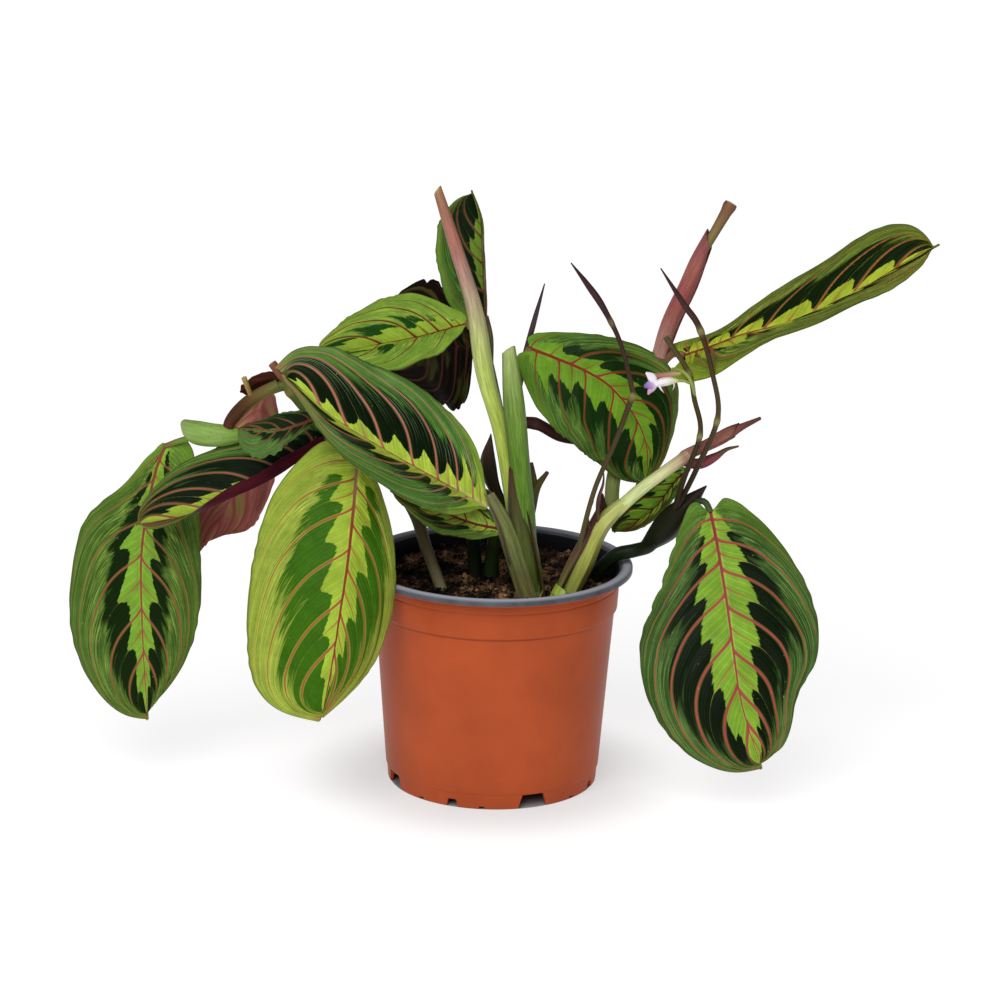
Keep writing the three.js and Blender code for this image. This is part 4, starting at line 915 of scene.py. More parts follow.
# The crown: tall petiole, cut green stub in its purple-edged sheath, and ridged low stem.
centreStems = newBag()
addStem(centreStems,
    [[18, -22, 76], [14, -18, 87], [10, -13, 110], [6, -5, 131], [1, 0, 157], [-6, 3, 181],
    [-11, 4, 209], [-19, 4, 235], [-27.5, 4, 261]], [3.2, 3.2, 3.3, 3.3, 3.6, 4.1, 3.4, 2.9, 2],
    ["#64852e", "#7a9e36", "#98b242", "#b1c151", "#b8cb60", "#c1cd76", "#b6a285", "#ae7668", "#a5785b"],
    shade=["#3c4c21", "#42541e", "#516427", "#647331", "#737f41", "#7a7853", "#7a564e", "#73453f",
    "#785139"], ridges=3, ridgeDepth=0.05, end="#b6b665", slant=1.5)
addStem(centreStems,
    [[20, -18, 76], [17, -17, 87], [13, -14, 112], [10, -10, 142], [7, -7, 168], [4, -5, 194]],
    [4, 4, 4.8, 4.3, 4.5, 2.9], ["#527029", "#56772c", "#5b7e2e", "#648730", "#799545", "#a9b971"],
    shade=["#2e4013", "#314515", "#334a17", "#38511b", "#416122", "#597432"], ridges=7, ridgeDepth=0.06,
    end="#d0d39f", slant=1.5)
addStem(centreStems, [[17, -17, 87], [12, -16, 110], [8, -13, 130], [6, -12, 143]],
    [3.4, 4.8, 3.8, 1], ["#4a5a24", "#4f5c26", "#4a4a26", "#4a2c24"],
    shade=["#2c3818", "#302c18", "#34201c", "#34181c"], ridges=6, ridgeDepth=0.05)
addSheath(centreStems, [[18, -17.5, 86], [13, -16.5, 108], [9, -13.5, 129], [6, -12, 145]],
    [4, 5.5, 4.4, 1.4], ["#5c6628", "#66702f", "#5c4a2c", "#4f2c26"], "#3a2a1c", [2.2, 2, 2.2, 2.6], 1.9,
    lip=3, edge="#43201f")
addStem(centreStems, [[18, -22, 77], [15, -20, 86], [10, -19, 101], [4, -18, 119], [-3, -17, 133]],
    [4, 4, 3.9, 3.4, 2], ["#645d3d", "#6e6a3f", "#6e7543", "#737a44", "#7a7650"],
    shade=["#392f22", "#443821", "#464428", "#484f28", "#59612a"], ridges=9, ridgeDepth=0.12)
addSheath(centreStems, [[9, -19.3, 104], [4, -18.2, 119], [-1, -17.3, 129], [-5, -17, 136]],
    [4.1, 4, 3.2, 2], ["#6a7042", "#6e6e48", "#86806a", "#9a8c84"], "#3f3428", [2.6, 2.4, 2.4, 3], 1.2,
    lip=5, edge="#5c4444")

# The stem behind the crown: curled sheath, forked stub, side stalk, spear-shaped young leaf, petioles.
backStem = newBag()
addStem(backStem,
    [[13, 14, 76], [11, 14, 87], [7, 13, 122], [2, 12, 154], [-2, 13, 174], [-5, 16, 187]],
    [3, 3, 3, 2.6, 2, 1.6], ["#34442a", "#3a4c2c", "#3f5530", "#4a5f34", "#4a5a30", "#4a4a2c"], ridges=6)
addStem(backStem, [[6, 13, 116], [0, 10, 126], [-4, 9, 139], [-3, 9, 153]], [2, 2.5, 3.4, 0.3],
    ["#222616", "#282413", "#2c2414", "#43302a"], ridges=5, ridgeDepth=0.1)
addStem(backStem, [[9, 14, 102], [14, 14, 114], [17, 14, 127], [22, 14, 135]], [2, 2.4, 2.2, 0.9],
    ["#2c3c1c", "#4a5424", "#5f6230", "#5a4426"], end="#6a5a34")
addStem(backStem, [[17, 14, 127], [16, 14, 133], [15, 14, 139]], [1.6, 1.3, 0.8],
    ["#3a4a1f", "#565a2c", "#5a4024"])
addStem(backStem, [[3, 12, 157], [16, 14, 157], [27, 16, 151], [38, 20, 148]], [2.8, 2.6, 2.4, 2.2],
    ["#2c2418", "#43261f", "#3a2220", "#2c1c1a"], joints=[(0.35, 0.1, "#5c3c30")])
addStem(backStem, [[2, 12, 152], [7, 12, 166], [10, 11, 180], [13, 8, 192]], [1.8, 1.6, 1.5, 1.4],
    ["#4a5f34", "#5a6a38", "#6a7a3c", "#7a5a3c"], joints=[(0.93, 0.2, "#9a9a4a")])
addStem(backStem, [[8, 12, 168], [10, 14, 182], [14, 14, 199], [19, 14, 219]], [1.2, 1.2, 1.2, 0.3],
    ["#4a4a30", "#4a3f34", "#46343a", "#3f2c34"])
addStem(backStem, [[-3, 14, 178], [-8, 15, 192], [-14, 13, 202]], [1.7, 1.4, 1.3],
    ["#4a5a30", "#5a6a34", "#8a6a3c"], joints=[(0.9, 0.2, "#8a8a44")])
addStem(backStem, [[-4, 15, 182], [-4, 22, 193], [-6, 28, 201]], [1.6, 1.4, 1.2],
    ["#4a5a30", "#5a5f34", "#7a5a3c"])
addStem(backStem, [[-3, 14, 175], [-6, 24, 183], [-11, 32, 187]], [1.6, 1.4, 1.2],
    ["#4a5a30", "#5a4434", "#5a3034"])

# Right: the thick green stem, its pale branch with two cut tips, a flower stalk, and the pink sheath.
rightStem = newBag()
addStem(rightStem,
    [[27, -20, 76], [31, -15, 86], [38, -9, 102], [44, -4, 114], [51, -2, 122], [60, -2, 130]],
    [3.6, 3.8, 4.9, 4.4, 3.3, 2], ["#768233", "#89923b", "#9ea34b", "#abaf54", "#bbbf6f", "#c0c87c"],
    shade=["#414722", "#4e4426", "#5c4030", "#5e4c34", "#767a40", "#818f4a"], ridges=6, ridgeDepth=0.08)
# its torn brown sheath, two withered tips, and the bright cut ring of an older one at the foot
addSheath(rightStem, [[29, -17, 87], [37, -10, 102], [43, -5, 114], [47, -3, 124], [48, -3, 130]],
    [4.1, 5.2, 4.9, 3.9, 2.6], ["#6f7434", "#6a5c38", "#5c3c32", "#54302c", "#4a2a28"], "#3f2a20",
    [3.4, 3.1, 2.8, 3.2, 3.8], 0.5, lip=5, edge="#432423")
addStem(rightStem, [[44, -5, 117], [44, -6, 128], [46, -6, 136], [46, -5, 143]], [1.2, 1.7, 1.2, 0.2],
    ["#6a5438", "#5c3a34", "#6a4440", "#4a2c28"], flatten=0.5)
addStem(rightStem, [[41, -6, 113], [39.5, -7, 121], [42, -7, 128]], [1.2, 1.4, 0.2],
    ["#6a6038", "#5a3c30", "#43261f"], flatten=0.5)
addSheath(rightStem, [[27, -20, 84.5], [29, -18, 88], [31, -16.5, 92]], [4.6, 5, 4.8],
    ["#8ca638", "#9ab240", "#86a038"], "#6a8a2c", [0.6, 0.8, 1.4], 1.0, lip=2, edge="#c3cc7c")
addStem(rightStem, [[48, -1, 118], [62, -2, 132], [83, -3, 149]], [3, 2.7, 2.6],
    ["#c4d184", "#d5dd9d", "#c0a48a"], shade=["#8a9854", "#959e64", "#7f6754"],
    joints=[(0.96, 0.2, "#a0715c")])
addStem(rightStem, [[82, -3, 149], [90, -3, 153], [98, -3, 157.5], [104, -3, 161], [113, -3, 165.5]],
    [2.4, 2.5, 2.7, 1.5, 0.7], ["#94685a", "#8c5450", "#8c5a4c", "#6f3c34", "#54302a"],
    shade=["#5a3a30", "#5a2f30", "#5c3830", "#43241f", "#3a201c"], ridges=5, ridgeDepth=0.1)
addSheath(rightStem, [[95, -3.4, 156], [100, -3.4, 158.7], [105, -3.4, 161]], [2.7, 2.9, 2.6],
    ["#945f52", "#8f5c4c", "#5c342c"], "#4a2620", [0.4, 0.9, 1.8], 0.3, lip=4, edge="#43241f")
addStem(rightStem,
    [[79, -3, 146], [87, -2.5, 144.5], [94, -2, 147.5], [99, -2, 151], [104, -2, 152.5]],
    [1.8, 2.2, 2, 1, 0.4], ["#8f5a52", "#843f46", "#84404a", "#6a4a34", "#5a4a2c"],
    shade=["#5a3834", "#54282c", "#54242c", "#43301f", "#3a2c1c"], ridges=4, ridgeDepth=0.08)
addStem(rightStem, [[50, 1, 121], [51, 11, 134], [56, 20, 152], [63, 20, 169], [69, 16, 188]],
    [3.2, 3.2, 3, 3, 3.4], ["#7a8448", "#6f7a44", "#6a6a44", "#6f5a4c", "#7a4a4c"])
addStem(rightStem, [[69, 16, 187], [74.5, 14, 206], [85, 11, 231], [87, 10, 236]], [2.4, 2.4, 2.2, 2],
    ["#7a4a4c", "#6a4a38", "#6f6a3c", "#74703f"])
addSheath(rightStem, [[68, 17, 182], [74, 14.5, 203], [80.5, 12, 219], [85, 11, 231], [91, 10, 244]],
    [3, 3.9, 4, 3.8, 3.2], ["#a98c7b", "#a47267", "#995450", "#9c5c55", "#894c4e"], "#5c3038",
    [0.1, 0.1, 0.15, 0.3, 1.7], 0.35, lip=7, edge="#83464a")
addStem(rightStem, [[87, 10, 236], [92.5, 10, 246], [98, 10, 256.5]], [2, 2.2, 2.7],
    ["#787840", "#836d45", "#7d5440"], shade=["#5f5233", "#664537", "#5f3c33"],
    joints=[(0.93, 0.15, None)], end="#bdb47a")
addStem(rightStem, [[35, -11, 103], [42, -9, 133], [51, -8, 156], [58, -8, 177]],
    [1.2, 1.1, 1.1, 1.3], ["#54542c", "#54482c", "#4a3c26", "#4a3826"], joints=[(0.98, 0.25, "#948c50")])
addStem(rightStem, [[58, -8, 176], [52, -8, 198], [44, -8, 214], [37, -8, 224], [30, -8, 233]],
    [1.2, 1, 1.1, 1.5, 0.3], ["#4a3826", "#3f2c22", "#3c2826", "#3f282a", "#34201f"],
    joints=[(0.52, 0.2, "#7a6a44")])
addStem(rightStem, [[69, 17, 182], [75, 14, 189], [80, 8, 190]], [2.2, 1.7, 1.4],
    ["#7a4a4c", "#7a5a40", "#8a5a3c"], joints=[(0.9, 0.15, "#8a8a44")])
addStem(rightStem, [[82, -3, 148], [84, 5, 146], [83.5, 13, 137.5]], [1.6, 1.3, 1.1],
    ["#8f5a52", "#7a6a3c", "#7a4034"])

# The dark stem that leans over the rim, its swollen sheath, two thin jointed stalks and pedicels. The
# near-black of the stem and its sheath is partly painted shade.
hangingStem = newBag()
addStem(hangingStem,
    [[40, 8, 78], [42, 7, 87], [47, 3, 96], [53, -1, 102.4], [60, -2, 104.5], [66, 3, 105], [70, 8, 108]],
    [3, 3, 3, 3, 3, 3, 3.4],
    ["#16200e", "#18240e", "#18220e", "#182210", "#16200e", "#141c0c", "#161c0e"], ridges=5)
addStem(hangingStem, [[66, 8, 104], [73, 6, 112], [81, 4, 122], [91, 3, 133]], [3, 6, 4.4, 0.4],
    ["#161e0c", "#1c2010", "#1f1c12", "#34221c"], shade=["#0e140a", "#10120a", "#16100c", "#241614"],
    ridges=7)
addStem(hangingStem,
    [[77, 2, 121], [81, -8, 140], [87, -10, 160], [84, -10, 175], [81, -10, 187], [71, -10, 202]],
    [1.2, 1.2, 1.1, 1.1, 1.1, 1.3], ["#2c2416", "#34281a", "#3c3020", "#46381f", "#4f4426", "#544a2c"],
    joints=[(0.47, 0.3, "#948c58"), (0.79, 0.25, "#86804c")], end="#7a6a44")
addStem(hangingStem,
    [[78, 2, 122], [86, -9, 144], [94, -14, 168], [91, -15.5, 188], [85, -13, 207], [78, -11, 217],
    [68, -11, 232]], [1.2, 1.2, 1.2, 1.1, 1.1, 1.4, 0.3],
    ["#2c2416", "#34281a", "#46381f", "#4a3c24", "#463024", "#432a26", "#3a2422"],
    joints=[(0.41, 0.3, "#948c58"), (0.74, 0.3, "#948c54")])
addStem(hangingStem,
    [[84, -10, 176], [83, -11, 181], [81, -12, 185.5], [78, -12, 188], [74, -12, 189]],
    [0.9, 0.8, 0.8, 0.8, 0.4], ["#7a8a44", "#8a9a4c", "#94a354", "#8a9a4c", "#7a8a44"])
addStem(hangingStem, [[82.5, -11, 182], [79, -12, 183.6], [76.6, -12, 183.6]], [0.6, 0.6, 0.6],
    ["#8a9a4c", "#94a354", "#9aa85c"])
addStem(hangingStem, [[83, 4, 125], [90, 0, 127], [93, -2, 123]], [1.8, 1.5, 1.4],
    ["#2c2c20", "#34402a", "#4a5a2c"])

# The two short stubs at the back: their green is darkened to near black as painted shade, for they stand in
# shadow.
stubLeft = newBag()
addStem(stubLeft, [[-9, 10, 76], [-9, 11, 88], [-10, 12, 106]], [3.1, 3.1, 3],
    ["#141c0c", "#18240e", "#1a2810"], ridges=5, end="#3a3a24")
stubRight = newBag()
addStem(stubRight, [[-2, 11, 76], [-2, 12, 88], [-1, 12, 107]], [3.3, 3.3, 2.4],
    ["#1c2a10", "#243614", "#344a1c"], ridges=5, end="#2c2414")

# Each stem: its node and slot, then how deep its streaks are, its roughness and its share of dark spots.
stemPieces = {
    "old_petiole": (leftStem, "left_stem", "stem_grey_green", 0.28, 0.5, 0.3),
    "crown": (centreStems, "centre_stems", "stem_green", 0.4, 0.42, 0.0),
    "rear_stem": (backStem, "back_stem", "stem_dark", 0.2, 0.5, 0.0),
    "branched_stem": (rightStem, "right_stem", "stem_yellow_green", 0.34, 0.42, 0.0),
    "leaning_stem": (hangingStem, "hanging_stem", "stem_black_green", 0.2, 0.4, 0.0),
    "dark_stub": (stubLeft, "back_stub_left", "stem_dark", 0.2, 0.5, 0.0),
    "green_stub": (stubRight, "back_stub_right", "stem_dark", 0.2, 0.5, 0.0),
}
for name, (bag, node, slot, *skin) in stemPieces.items():
    makeFromBag(bag, name, node, stemMaterial(name.replace("_", " ") + " skin", *skin))

print("flower")

flowerTints = {
    "tube": ["#c9c98a", "#efe9e6", "#f2ecf4"],
    "white": ["#f2ecf4", "#f4f0f6", "#e9dcee"],
    "lilac": ["#f2ecf4", "#b79ace", "#8f6cb4"],
    "pink": ["#f2ecf4", "#d9b4cc", "#c99ab8"],
    "cream": ["#f2ecf4", "#efe9e6", "#e4dcd0"],
    "faded": ["#b8a87a", "#b88a7a", "#a8705f"],
}
flower = newBag()
for path, radius, tint, ridges, ridgeDepth, flatten in (
    ([[76.5, -12, 183.6], [72, -12.5, 183.5], [67, -13, 182.3]], [0.9, 2.2, 1.6], "tube", 6, 0.12, 0.8),
    ([[67, -13, 183], [65, -13.5, 185.5], [63, -14, 187.2]], [0.8, 1.3, 0.4], "white", 2, 0.25, 1.2),
    ([[67, -13, 182], [64.5, -14, 181.8], [62.5, -15, 181.5]], [1.1, 1.6, 0.7], "lilac", 3, 0.3, 1),
    ([[67, -13, 182], [65, -14, 180], [64, -15, 178.3]], [0.9, 1.2, 0.4], "pink", 2, 0.25, 1),
    ([[68, -13, 183], [69, -14, 180.8], [70.5, -14.5, 179]], [0.7, 0.9, 0.2], "white", 0, 0, 0.5),
    ([[73, -12, 184], [75, -13, 182], [74.5, -13.5, 180]], [0.5, 0.6, 0.2], "cream", 0, 0, 0.5),
    ([[77.6, -11.5, 187], [71, -12, 186], [66.7, -12.5, 185.7]], [0.7, 0.9, 1], "faded", 4, 0.15, 1),
):
    addStem(flower, path, radius, flowerTints[tint], None, ridges, ridgeDepth, flatten=flatten)
makeFromBag(flower, "open_flower", "flower", stemMaterial("petal tissue", 0.08, 0.6))

print("pot")


# A solid turned from a profile of radius and height: a disc, extruded and resized step by step.
def turnProfile(profile, segments):
    bpy.ops.object.select_all(action="DESELECT")
    bpy.ops.mesh.primitive_circle_add(vertices=segments, radius=profile[0][0] * mm, fill_type="NGON",
        location=(0, 0, 0))
    bpy.ops.object.mode_set(mode="EDIT")
    bpy.ops.mesh.select_all(action="SELECT")
    bpy.ops.transform.translate(value=(0, 0, profile[0][1] * mm))
    for (r0, z0), (r1, z1) in zip(profile, profile[1:]):
        bpy.ops.mesh.extrude_region_move(TRANSFORM_OT_translate={"value": (0, 0, (z1 - z0) * mm)})
        bpy.ops.transform.resize(value=(r1 / r0, r1 / r0, 1))
    bpy.ops.mesh.select_all(action="SELECT")
    bpy.ops.mesh.normals_make_consistent(inside=False)
    bpy.ops.object.mode_set(mode="OBJECT")
    return bpy.context.object


potBuild = {
    "segments": 144,
    "rimBevel": 0.35,
    "footRadius": 45.5,
    "notchDepth": 8,
    "holes": 8,
    "holeRadius": 3.5,
    "holeCircle": 32,
    "floorMiddle": 7,  # height of the middle of the raised floor, where the holes go through
    "floorTop": 7.7,
    # height of the painted shadow line under the step
    "stepHeight": 78.5,
    "smoothAngle": 30,
    "lipTop": (97.4, 98.7),  # where the light line on top of the lip fades in: scuffs and a painted highlight
    "lipFrom": (95.8, 54.5),  # height and radius beyond which the skin is the lip's
}
potProfile = [[17, 0], [18, 6.5], [44.2, 6.5], [44.8, 0], [46, 0], [46.5, 6.5], [47, 7], [51.1, 61],
    [52.5, 78.4], [53.7, 79.4], [54.3, 90], [53.9, 90.5], [54.3, 91], [54.4, 95], [58.9, 95.9], [60, 95.5],
    [60, 97.6], [58.6, 98.7], [57.6, 98.7], [56, 98.2], [54.2, 96.6], [53.2, 94], [53.1, 90], [52.8, 81.2],
    [51, 77.2], [46, 8.2], [45.5, 7.7], [16.8, 7.7], [15.8, 1.2]]
pot = turnProfile(potProfile, potBuild["segments"])
applyModifier(pot, "rounded edges", "BEVEL", width=potBuild["rimBevel"] * mm, segments=3,
    limit_method="ANGLE", angle_limit=math.radians(25))

# All notches of the foot ring, each wide at the floor and narrower above: degrees, width, height.
footNotches = [(-67, 14, 6.2), (-41, 3, 1.2), (-21.5, 5.5, 3.5), (-5, 3, 1.2)]
bpy.ops.object.select_all(action="DESELECT")
cutters = []
for quarter in range(4):
    for degrees, width, height in footNotches:
        bpy.ops.mesh.primitive_cube_add(size=1, location=(0, 0, 0))
        notch = bpy.context.object
        for vertex in notch.data.vertices:
            top = vertex.co.z > 0
            vertex.co.x *= potBuild["notchDepth"]
            vertex.co.y *= width * (0.7 if top else 1)
            vertex.co.z = height if top else -1
        turn = Matrix.Rotation(math.radians(degrees + 90 * quarter), 4, "Z")
        notch.data.transform(turn @ Matrix.Translation((potBuild["footRadius"], 0, 0)))
        notch.data.transform(Matrix.Scale(mm, 4))
        cutters.append(notch)
for i in range(potBuild["holes"]):
    angle = 2 * math.pi * (i + 0.5) / potBuild["holes"]
    out = potBuild["holeCircle"] * mm
    bpy.ops.mesh.primitive_cylinder_add(vertices=32, radius=potBuild["holeRadius"] * mm, depth=6 * mm,
        location=(out * math.cos(angle), out * math.sin(angle), potBuild["floorMiddle"] * mm))
    bpy.ops.object.transform_apply(location=True, rotation=True, scale=True)
    cutters.append(bpy.context.object)
cutter = joined(cutters)
choose(pot)
applyModifier(pot, "cut", "BOOLEAN", object=cutter, solver="EXACT")
bpy.data.objects.remove(cutter)


# Thermoformed polypropylene, terracotta outside: satin, faintly drawn out in height, with scuffs and peat
# dust.
# A painted shadow line lies under the step; a light top line, partly a painted highlight, can be added.
def potMaterial(name, colour, roughness, dusty, spread=0.14, scale=28.0, top=None):
    material, add, surface = startMaterial(name)
    place = add("TexCoord", output="Object")
    cloud = add("TexNoise", None, {"Vector": place, "Scale": scale, "Detail": 6.0, "Roughness": 0.6})
    drawn = add("VectorMath", "MULTIPLY", [place, (1.0, 1.0, 0.12)])
    drawn = add("TexNoise", None, {"Vector": drawn, "Scale": 420.0, "Detail": 3.0})
    pores = add("TexNoise", None, {"Vector": place, "Scale": 2600.0, "Detail": 1.0})
    share = add("MapRange", "LINEAR", [cloud, 0.3, 0.7])
    base = add("Mix", "RGBA", [share, shaded(colour, 1 - spread), shaded(colour, 1 + spread)])
    height = add("SeparateXYZ", None, [place], 2)
    # painted highlight, with scuffs: the top of the lip turns lighter
    if top:
        atTop = add("MapRange", "SMOOTHSTEP", [height, *(z * mm for z in potBuild["lipTop"])])
        base = add("Mix", "RGBA", [atTop, base, toLinear(top)])
    # peat dust that sticks in scattered small smudges
    smudge = add("TexNoise", None, {"Vector": place, "Scale": 95.0, "Detail": 5.0, "Roughness": 0.7})
    smudgeMask = add("MapRange", "SMOOTHSTEP", [smudge, 0.66, 0.8, 0, dusty])
    dustedAndShaded = add("Mix", "RGBA", [smudgeMask, base, toLinear("#4a3226")])
    # and painted shade: a dark line in the corner under the step, where its overhang casts a shadow
    corner = add("Math", "COMPARE", [height, potBuild["stepHeight"] * mm, 0.4 * mm])
    corner = add("Math", "MULTIPLY", [corner, 0.4])
    dustedAndShaded = add("Mix", "RGBA", [corner, dustedAndShaded, toLinear("#54200e")])
    gloss = add("MapRange", "LINEAR", [cloud, 0.3, 0.7, roughness - 0.05, roughness + 0.07])
    relief = add("Math", "MULTIPLY_ADD", [pores, 0.35, drawn])
    bump = add("Bump", None, {"Height": relief, "Strength": 0.12, "Distance": 0.15 * mm})
    feed(surface, {"Base Color": dustedAndShaded, "Roughness": gloss, "Normal": bump, "IOR": 1.49,
        "Specular IOR Level": 0.1})
    return material


terracotta = potMaterial("terracotta polypropylene", "#ab4c27", 0.42, 0.35)
# the lining's near-black is partly painted shade of the pot's inside
greyLining = potMaterial("grey polypropylene lining", "#1b1c1f", 0.36, 0.5)
greyLip = potMaterial("scuffed grey polypropylene lip", "#53555d", 0.4, 0.9, 0.3, 110.0, "#a4a7b0")
finishPiece(pot, "nursery_pot", "pot", [terracotta, greyLining, greyLip])
for face in pot.data.polygons:
    x, y, z = face.center / mm
    r = math.hypot(x, y)
    inward = (face.normal.x * x + face.normal.y * y) / max(r, 1) < -0.3
    isLip = z > potBuild["lipFrom"][0] and r > potBuild["lipFrom"][1]
    isInside = z > 1.1 and inward and r > 20 or abs(z - potBuild["floorTop"]) < 0.1 and r < 46.5
    face.material_index = 2 if isLip else 1 if isInside else 0
choose(pot)
bpy.ops.object.shade_smooth_by_angle(angle=math.radians(potBuild["smoothAngle"]))

print("peat")

soilBuild = {
    "level": 88,
    "rise": 3,
    "topRadius": 52.2,
    "topSpan": 51.4,  # of the rings, inwards from the edge of the top
    "rings": 58,
    "segments": 200,
    "crumbs": 900,
    "crumbSize": (0.5, 1.5),  # the smallest, and what chance adds
    "crumbsWithin": 51,
    "chips": 14,
    "chipSize": ((3, 5), (2, 3), (1.2, 1.2)),  # each way, the same
    "chipsWithin": 46,
}


def soilHeight(x, y):
    back = min(max(y / 45, 0), 1)
    lumps = 0.5 * math.sin(0.31 * x + 1) * math.cos(0.27 * y) + 0.35 * math.sin(0.53 * y - 0.4 * x)
    return soilBuild["level"] + soilBuild["rise"] * back * back * (3 - 2 * back) + lumps


# A round plug that fills the pot: extruded up its sides, then inset ring by ring over its top.
soilProfile = [[15.4, 1.5], [16.3, 8], [45.2, 8], [45.5, 8.6], [50.5, 77.2], [52.3, 81.6], [52.5, 86.5]]
for k in range(soilBuild["rings"] + 1):
    radius = soilBuild["topRadius"] - soilBuild["topSpan"] * k / soilBuild["rings"]
    soilProfile.append([radius, soilBuild["level"]])
peat = turnProfile(soilProfile, soilBuild["segments"])
for vertex in peat.data.vertices:
    x, y, z = vertex.co / mm
    if z < soilBuild["level"] - 0.5:
        continue
    coarse = noise.fractal(Vector((x, y, 0)) / 6, 0.9, 2.1, 4)
    fine = abs(noise.noise(Vector((x, y, 5)) / 1.5))
    edge = min(1, max(0, (52.4 - math.hypot(x, y)) / 3))
    vertex.co.z = (soilHeight(x, y) + (1.1 * coarse + 0.9 * fine) * edge - 0.6) * mm

# crumbs of peat: one knobbly crumb, copied at many sizes and turns over the surface
bpy.ops.mesh.primitive_ico_sphere_add(subdivisions=1, radius=1)
crumb = bpy.context.object
crumbPlaces = np.array([v.co * (1 + 0.45 * noise.noise(v.co * 1.7)) for v in crumb.data.vertices])
crumbFaces = np.array([list(f.vertices) for f in crumb.data.polygons])
bpy.data.objects.remove(crumb)
points, faces = [], []
for _ in range(soilBuild["crumbs"]):
    radius = soilBuild["crumbsWithin"] * math.sqrt(random.random())
    angle = 2 * math.pi * random.random()
    x, y = radius * math.cos(angle), radius * math.sin(angle)
    size = soilBuild["crumbSize"][0] + soilBuild["crumbSize"][1] * random.random() ** 3
    turned = 6.28 * random.random()
    axis = Vector((random.random(), random.random(), random.random() + 0.1))
    turn = np.array(Matrix.Rotation(turned, 3, axis))
    squash = np.array([1, 0.6 + 0.4 * random.random(), 0.5 + 0.4 * random.random()])
    centre = (x, y, soilHeight(x, y) + 0.3 + 0.6 * random.random())
    faces.extend((crumbFaces + len(points)).tolist())
    points.extend((crumbPlaces * squash * size) @ turn.T + centre)
crumbs = meshPiece("peat_crumbs", points, faces)


# The same run of numbers as the frame's, so that each chip lies where its block does.
def chipNumbers():
    state = 71
    while True:
        state = (state * 16807) % 2147483647
        yield state / 2147483647


numbers = chipNumbers()
chips = []
for _ in range(soilBuild["chips"]):
    angle = 2 * math.pi * next(numbers)
    radius = soilBuild["chipsWithin"] * math.sqrt(next(numbers))
    x, y = radius * math.cos(angle), radius * math.sin(angle)
    size = Vector([least + added * next(numbers) for least, added in soilBuild["chipSize"]])
    tilt = (0.5 * next(numbers) - 0.25, 0.6 * next(numbers) - 0.3, math.pi * next(numbers))
    z = soilHeight(x, y) + 0.5 * next(numbers)
    bpy.ops.mesh.primitive_cube_add(size=1, location=(0, 0, 0))
    chip = bpy.context.object
    bpy.ops.object.mode_set(mode="EDIT")
    bpy.ops.mesh.select_all(action="SELECT")
    bpy.ops.mesh.subdivide(number_cuts=3)
    bpy.ops.object.mode_set(mode="OBJECT")
    for vertex in chip.data.vertices:
        rough = 1 + 0.35 * noise.noise(vertex.co * 2.3 + Vector((x, y, z)))
        soft = 1 - 0.28 * max(0, vertex.co.length - 0.5)
        vertex.co = vertex.co * size * rough * soft
    turn = Matrix.Identity(4)
    for radians, axis in zip(tilt, "XYZ"):
        turn = Matrix.Rotation(radians, 4, axis) @ turn
    chip.data.transform(Matrix.Scale(mm, 4) @ Matrix.Translation((x, y, z)) @ turn)
    chips.append(chip)
chips = joined(chips)


# Damp peat: dark brown and matt, with lighter fibres and near-black hollows; as the colour follows the
# relief, the hollows' black is partly painted shade.
def peatMaterial(name, dark, light, share):
    material, add, surface = startMaterial(name)
    place = add("TexCoord", output="Object")
    patchy = add("TexNoise", None, {"Vector": place, "Scale": 160.0, "Detail": 5.0, "Roughness": 0.7})
    grit = add("TexNoise", None, {"Vector": place, "Scale": 900.0, "Detail": 3.0, "Roughness": 0.7})
    mixed = add("Math", "MULTIPLY_ADD", [grit, 0.6, patchy])
    # partly painted shade: where the relief is low the peat is near-black
    shade = add("MapRange", "SMOOTHSTEP", [mixed, 1.1 - share, 1.0])
    # brown lumps lie in groups, with wet black peat between them
    lumps = add("TexNoise", None, {"Vector": place, "Scale": 55.0, "Detail": 2.0})
    grouped = add("MapRange", "SMOOTHSTEP", [lumps, 0.42, 0.62, 0.1, 1.0])
    shade = add("Math", "MULTIPLY", [shade, grouped])
    base = add("Mix", "RGBA", [shade, toLinear(dark), toLinear(light)])
    bump = add("Bump", None, {"Height": mixed, "Strength": 0.9, "Distance": 0.9 * mm})
    feed(surface, {"Base Color": base, "Normal": bump, "Roughness": 0.85, "Specular IOR Level": 0.15})
    return material


finishPiece(peat, "peat", "soil", [peatMaterial("damp peat", "#080604", "#b88a62", 0.36)])
finishPiece(crumbs, "peat_crumbs", None, [peatMaterial("peat crumbs", "#0a0705", "#c4966c", 0.4)])
finishPiece(chips, "bark_chips", None, [peatMaterial("bark", "#2c180c", "#8c6444", 0.4)])
fibres = newBag()
for path, radius in (
    ([[2, -31, 89], [4, -32, 90.8], [7.5, -32.5, 89.6], [9, -33, 88.2], [11, -34, 88.4]],
        [0.3, 0.5, 0.4, 0.6, 0.3]),
    ([[3, -34, 87.5], [6, -33, 89.6], [8, -33.6, 88.6], [12, -35, 87]], [0.3, 0.4, 0.4, 0.2]),
    ([[19, -24, 86.5], [19.6, -24.4, 90], [20.6, -24, 92.4]], [0.5, 0.4, 0.2]),
    ([[27, -24, 86.5], [26, -25, 90], [24, -25, 92]], [0.3, 0.3, 0.2]),
):
    addStem(fibres, path, radius, ["#7a4c34", "#b07a58", "#8a5a40"])
makeFromBag(fibres, "root_fibres", None, stemMaterial("root fibre", 0.3, 0.7))

print("stage")

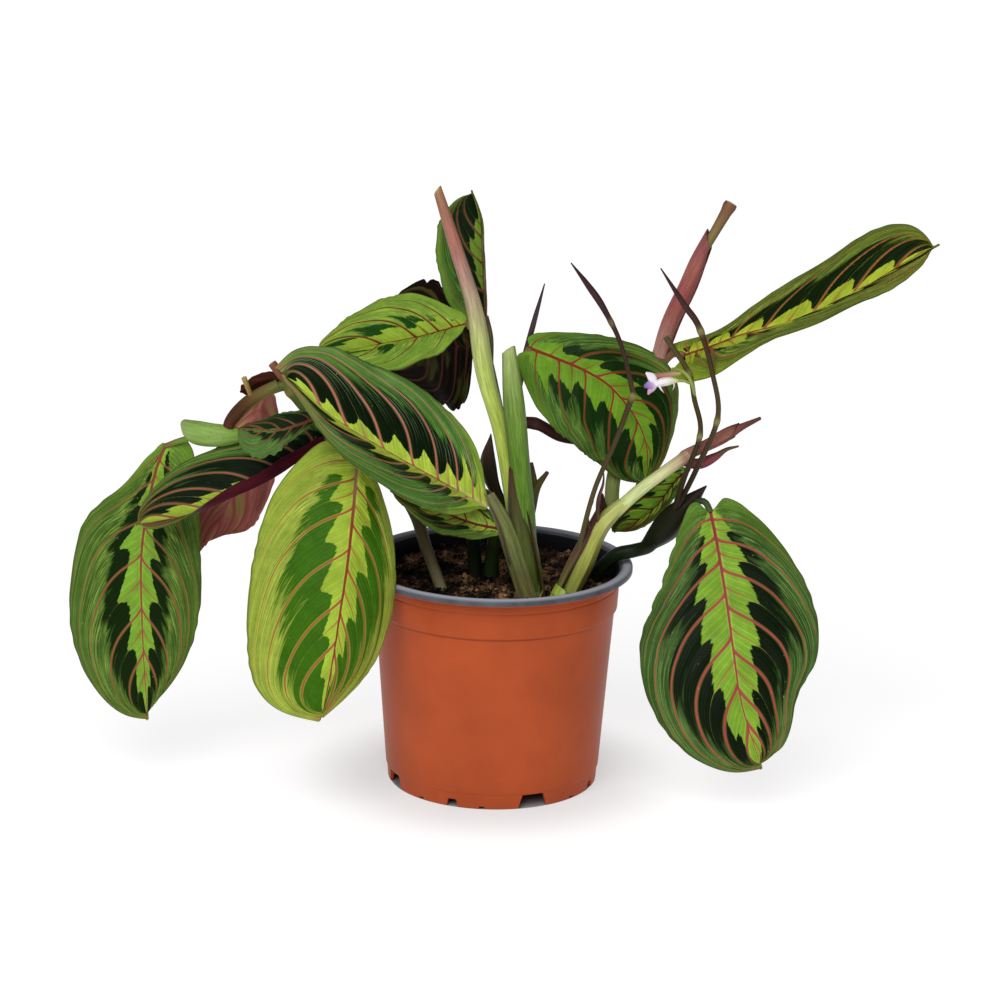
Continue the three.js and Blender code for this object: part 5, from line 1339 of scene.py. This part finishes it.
stage = {
    "cameraPlace": (0.0015, -1.5079, 0.5449),
    "sensorWidth": 36,
    "focalLength": 129.6,
    "pitch": 0.271,
    "roll": 0.018,
    "world": 0.18,
    "floorSize": 40,
    "floorGlow": 0.8,
    # painted contact shadow: the glow left beside the pot, and where it grows back
    "shadeGlow": 0.66,  # share of the glow that is left beside the pot
    "shadeReach": (46, 95),  # from the pot's middle, where the glow grows back
    "sun": 2.1,
    "sunFrom": (-0.3, -1.0, 0.95),
    "sunAngle": 45,  # degrees: a wide soft source
}
bpy.ops.object.select_all(action="DESELECT")
bpy.ops.mesh.primitive_plane_add(size=stage["floorSize"], location=(0, 0, -0.0002))
floor = bpy.context.object
floor.name = "pale_floor"
material, add, surface = startMaterial("white paper")
place = add("TexCoord", output="Object")
# painted shadow: the floor's glow is dimmed close to the pot and off under it
fromPot = add("VectorMath", "LENGTH", [place], 1)
close = add("MapRange", "SMOOTHSTEP", [fromPot, *(r * mm for r in stage["shadeReach"]),
    stage["shadeGlow"] * stage["floorGlow"], stage["floorGlow"]])
beside = add("Math", "GREATER_THAN", [fromPot, potBuild["footRadius"] * mm])
glow = add("Math", "MULTIPLY", [close, beside])
feed(surface, {"Base Color": toLinear("#a3a3a3"), "Roughness": 0.9, "Emission Color": (1, 1, 1, 1),
    "Emission Strength": glow})
floor.data.materials.append(material)
floor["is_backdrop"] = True

world = scene.world or bpy.data.worlds.new("studio")
scene.world = world
world.use_nodes = True
feed(world.node_tree.nodes["Background"], {"Color": (1, 1, 1, 1), "Strength": stage["world"]})
bpy.ops.object.light_add(type="SUN", location=stage["sunFrom"])
sun = bpy.context.object
sun.data.energy = stage["sun"]
sun.data.angle = math.radians(stage["sunAngle"])
sun.rotation_euler = (-Vector(stage["sunFrom"])).to_track_quat("-Z", "Y").to_euler()

camera = bpy.data.objects.new("camera", bpy.data.cameras.new("camera"))
scene.collection.objects.link(camera)
camera.data.sensor_width = stage["sensorWidth"]
camera.data.lens = stage["focalLength"]
camera.data.clip_start = 0.05
camera.data.clip_end = 60
forward = Vector((0, math.cos(stage["pitch"]), -math.sin(stage["pitch"])))
level = Vector((1, 0, 0))
upright = level.cross(forward)
right = level * math.cos(stage["roll"]) + upright * math.sin(stage["roll"])
up = upright * math.cos(stage["roll"]) - level * math.sin(stage["roll"])
turn = Matrix((right, up, -forward)).transposed().to_4x4()
camera.matrix_world = Matrix.Translation(stage["cameraPlace"]) @ turn
scene.camera = camera
scene.view_settings.view_transform = "Standard"

{"cad": [list(corner) for corner in cadBox], "visual": [list(corner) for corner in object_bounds()]}
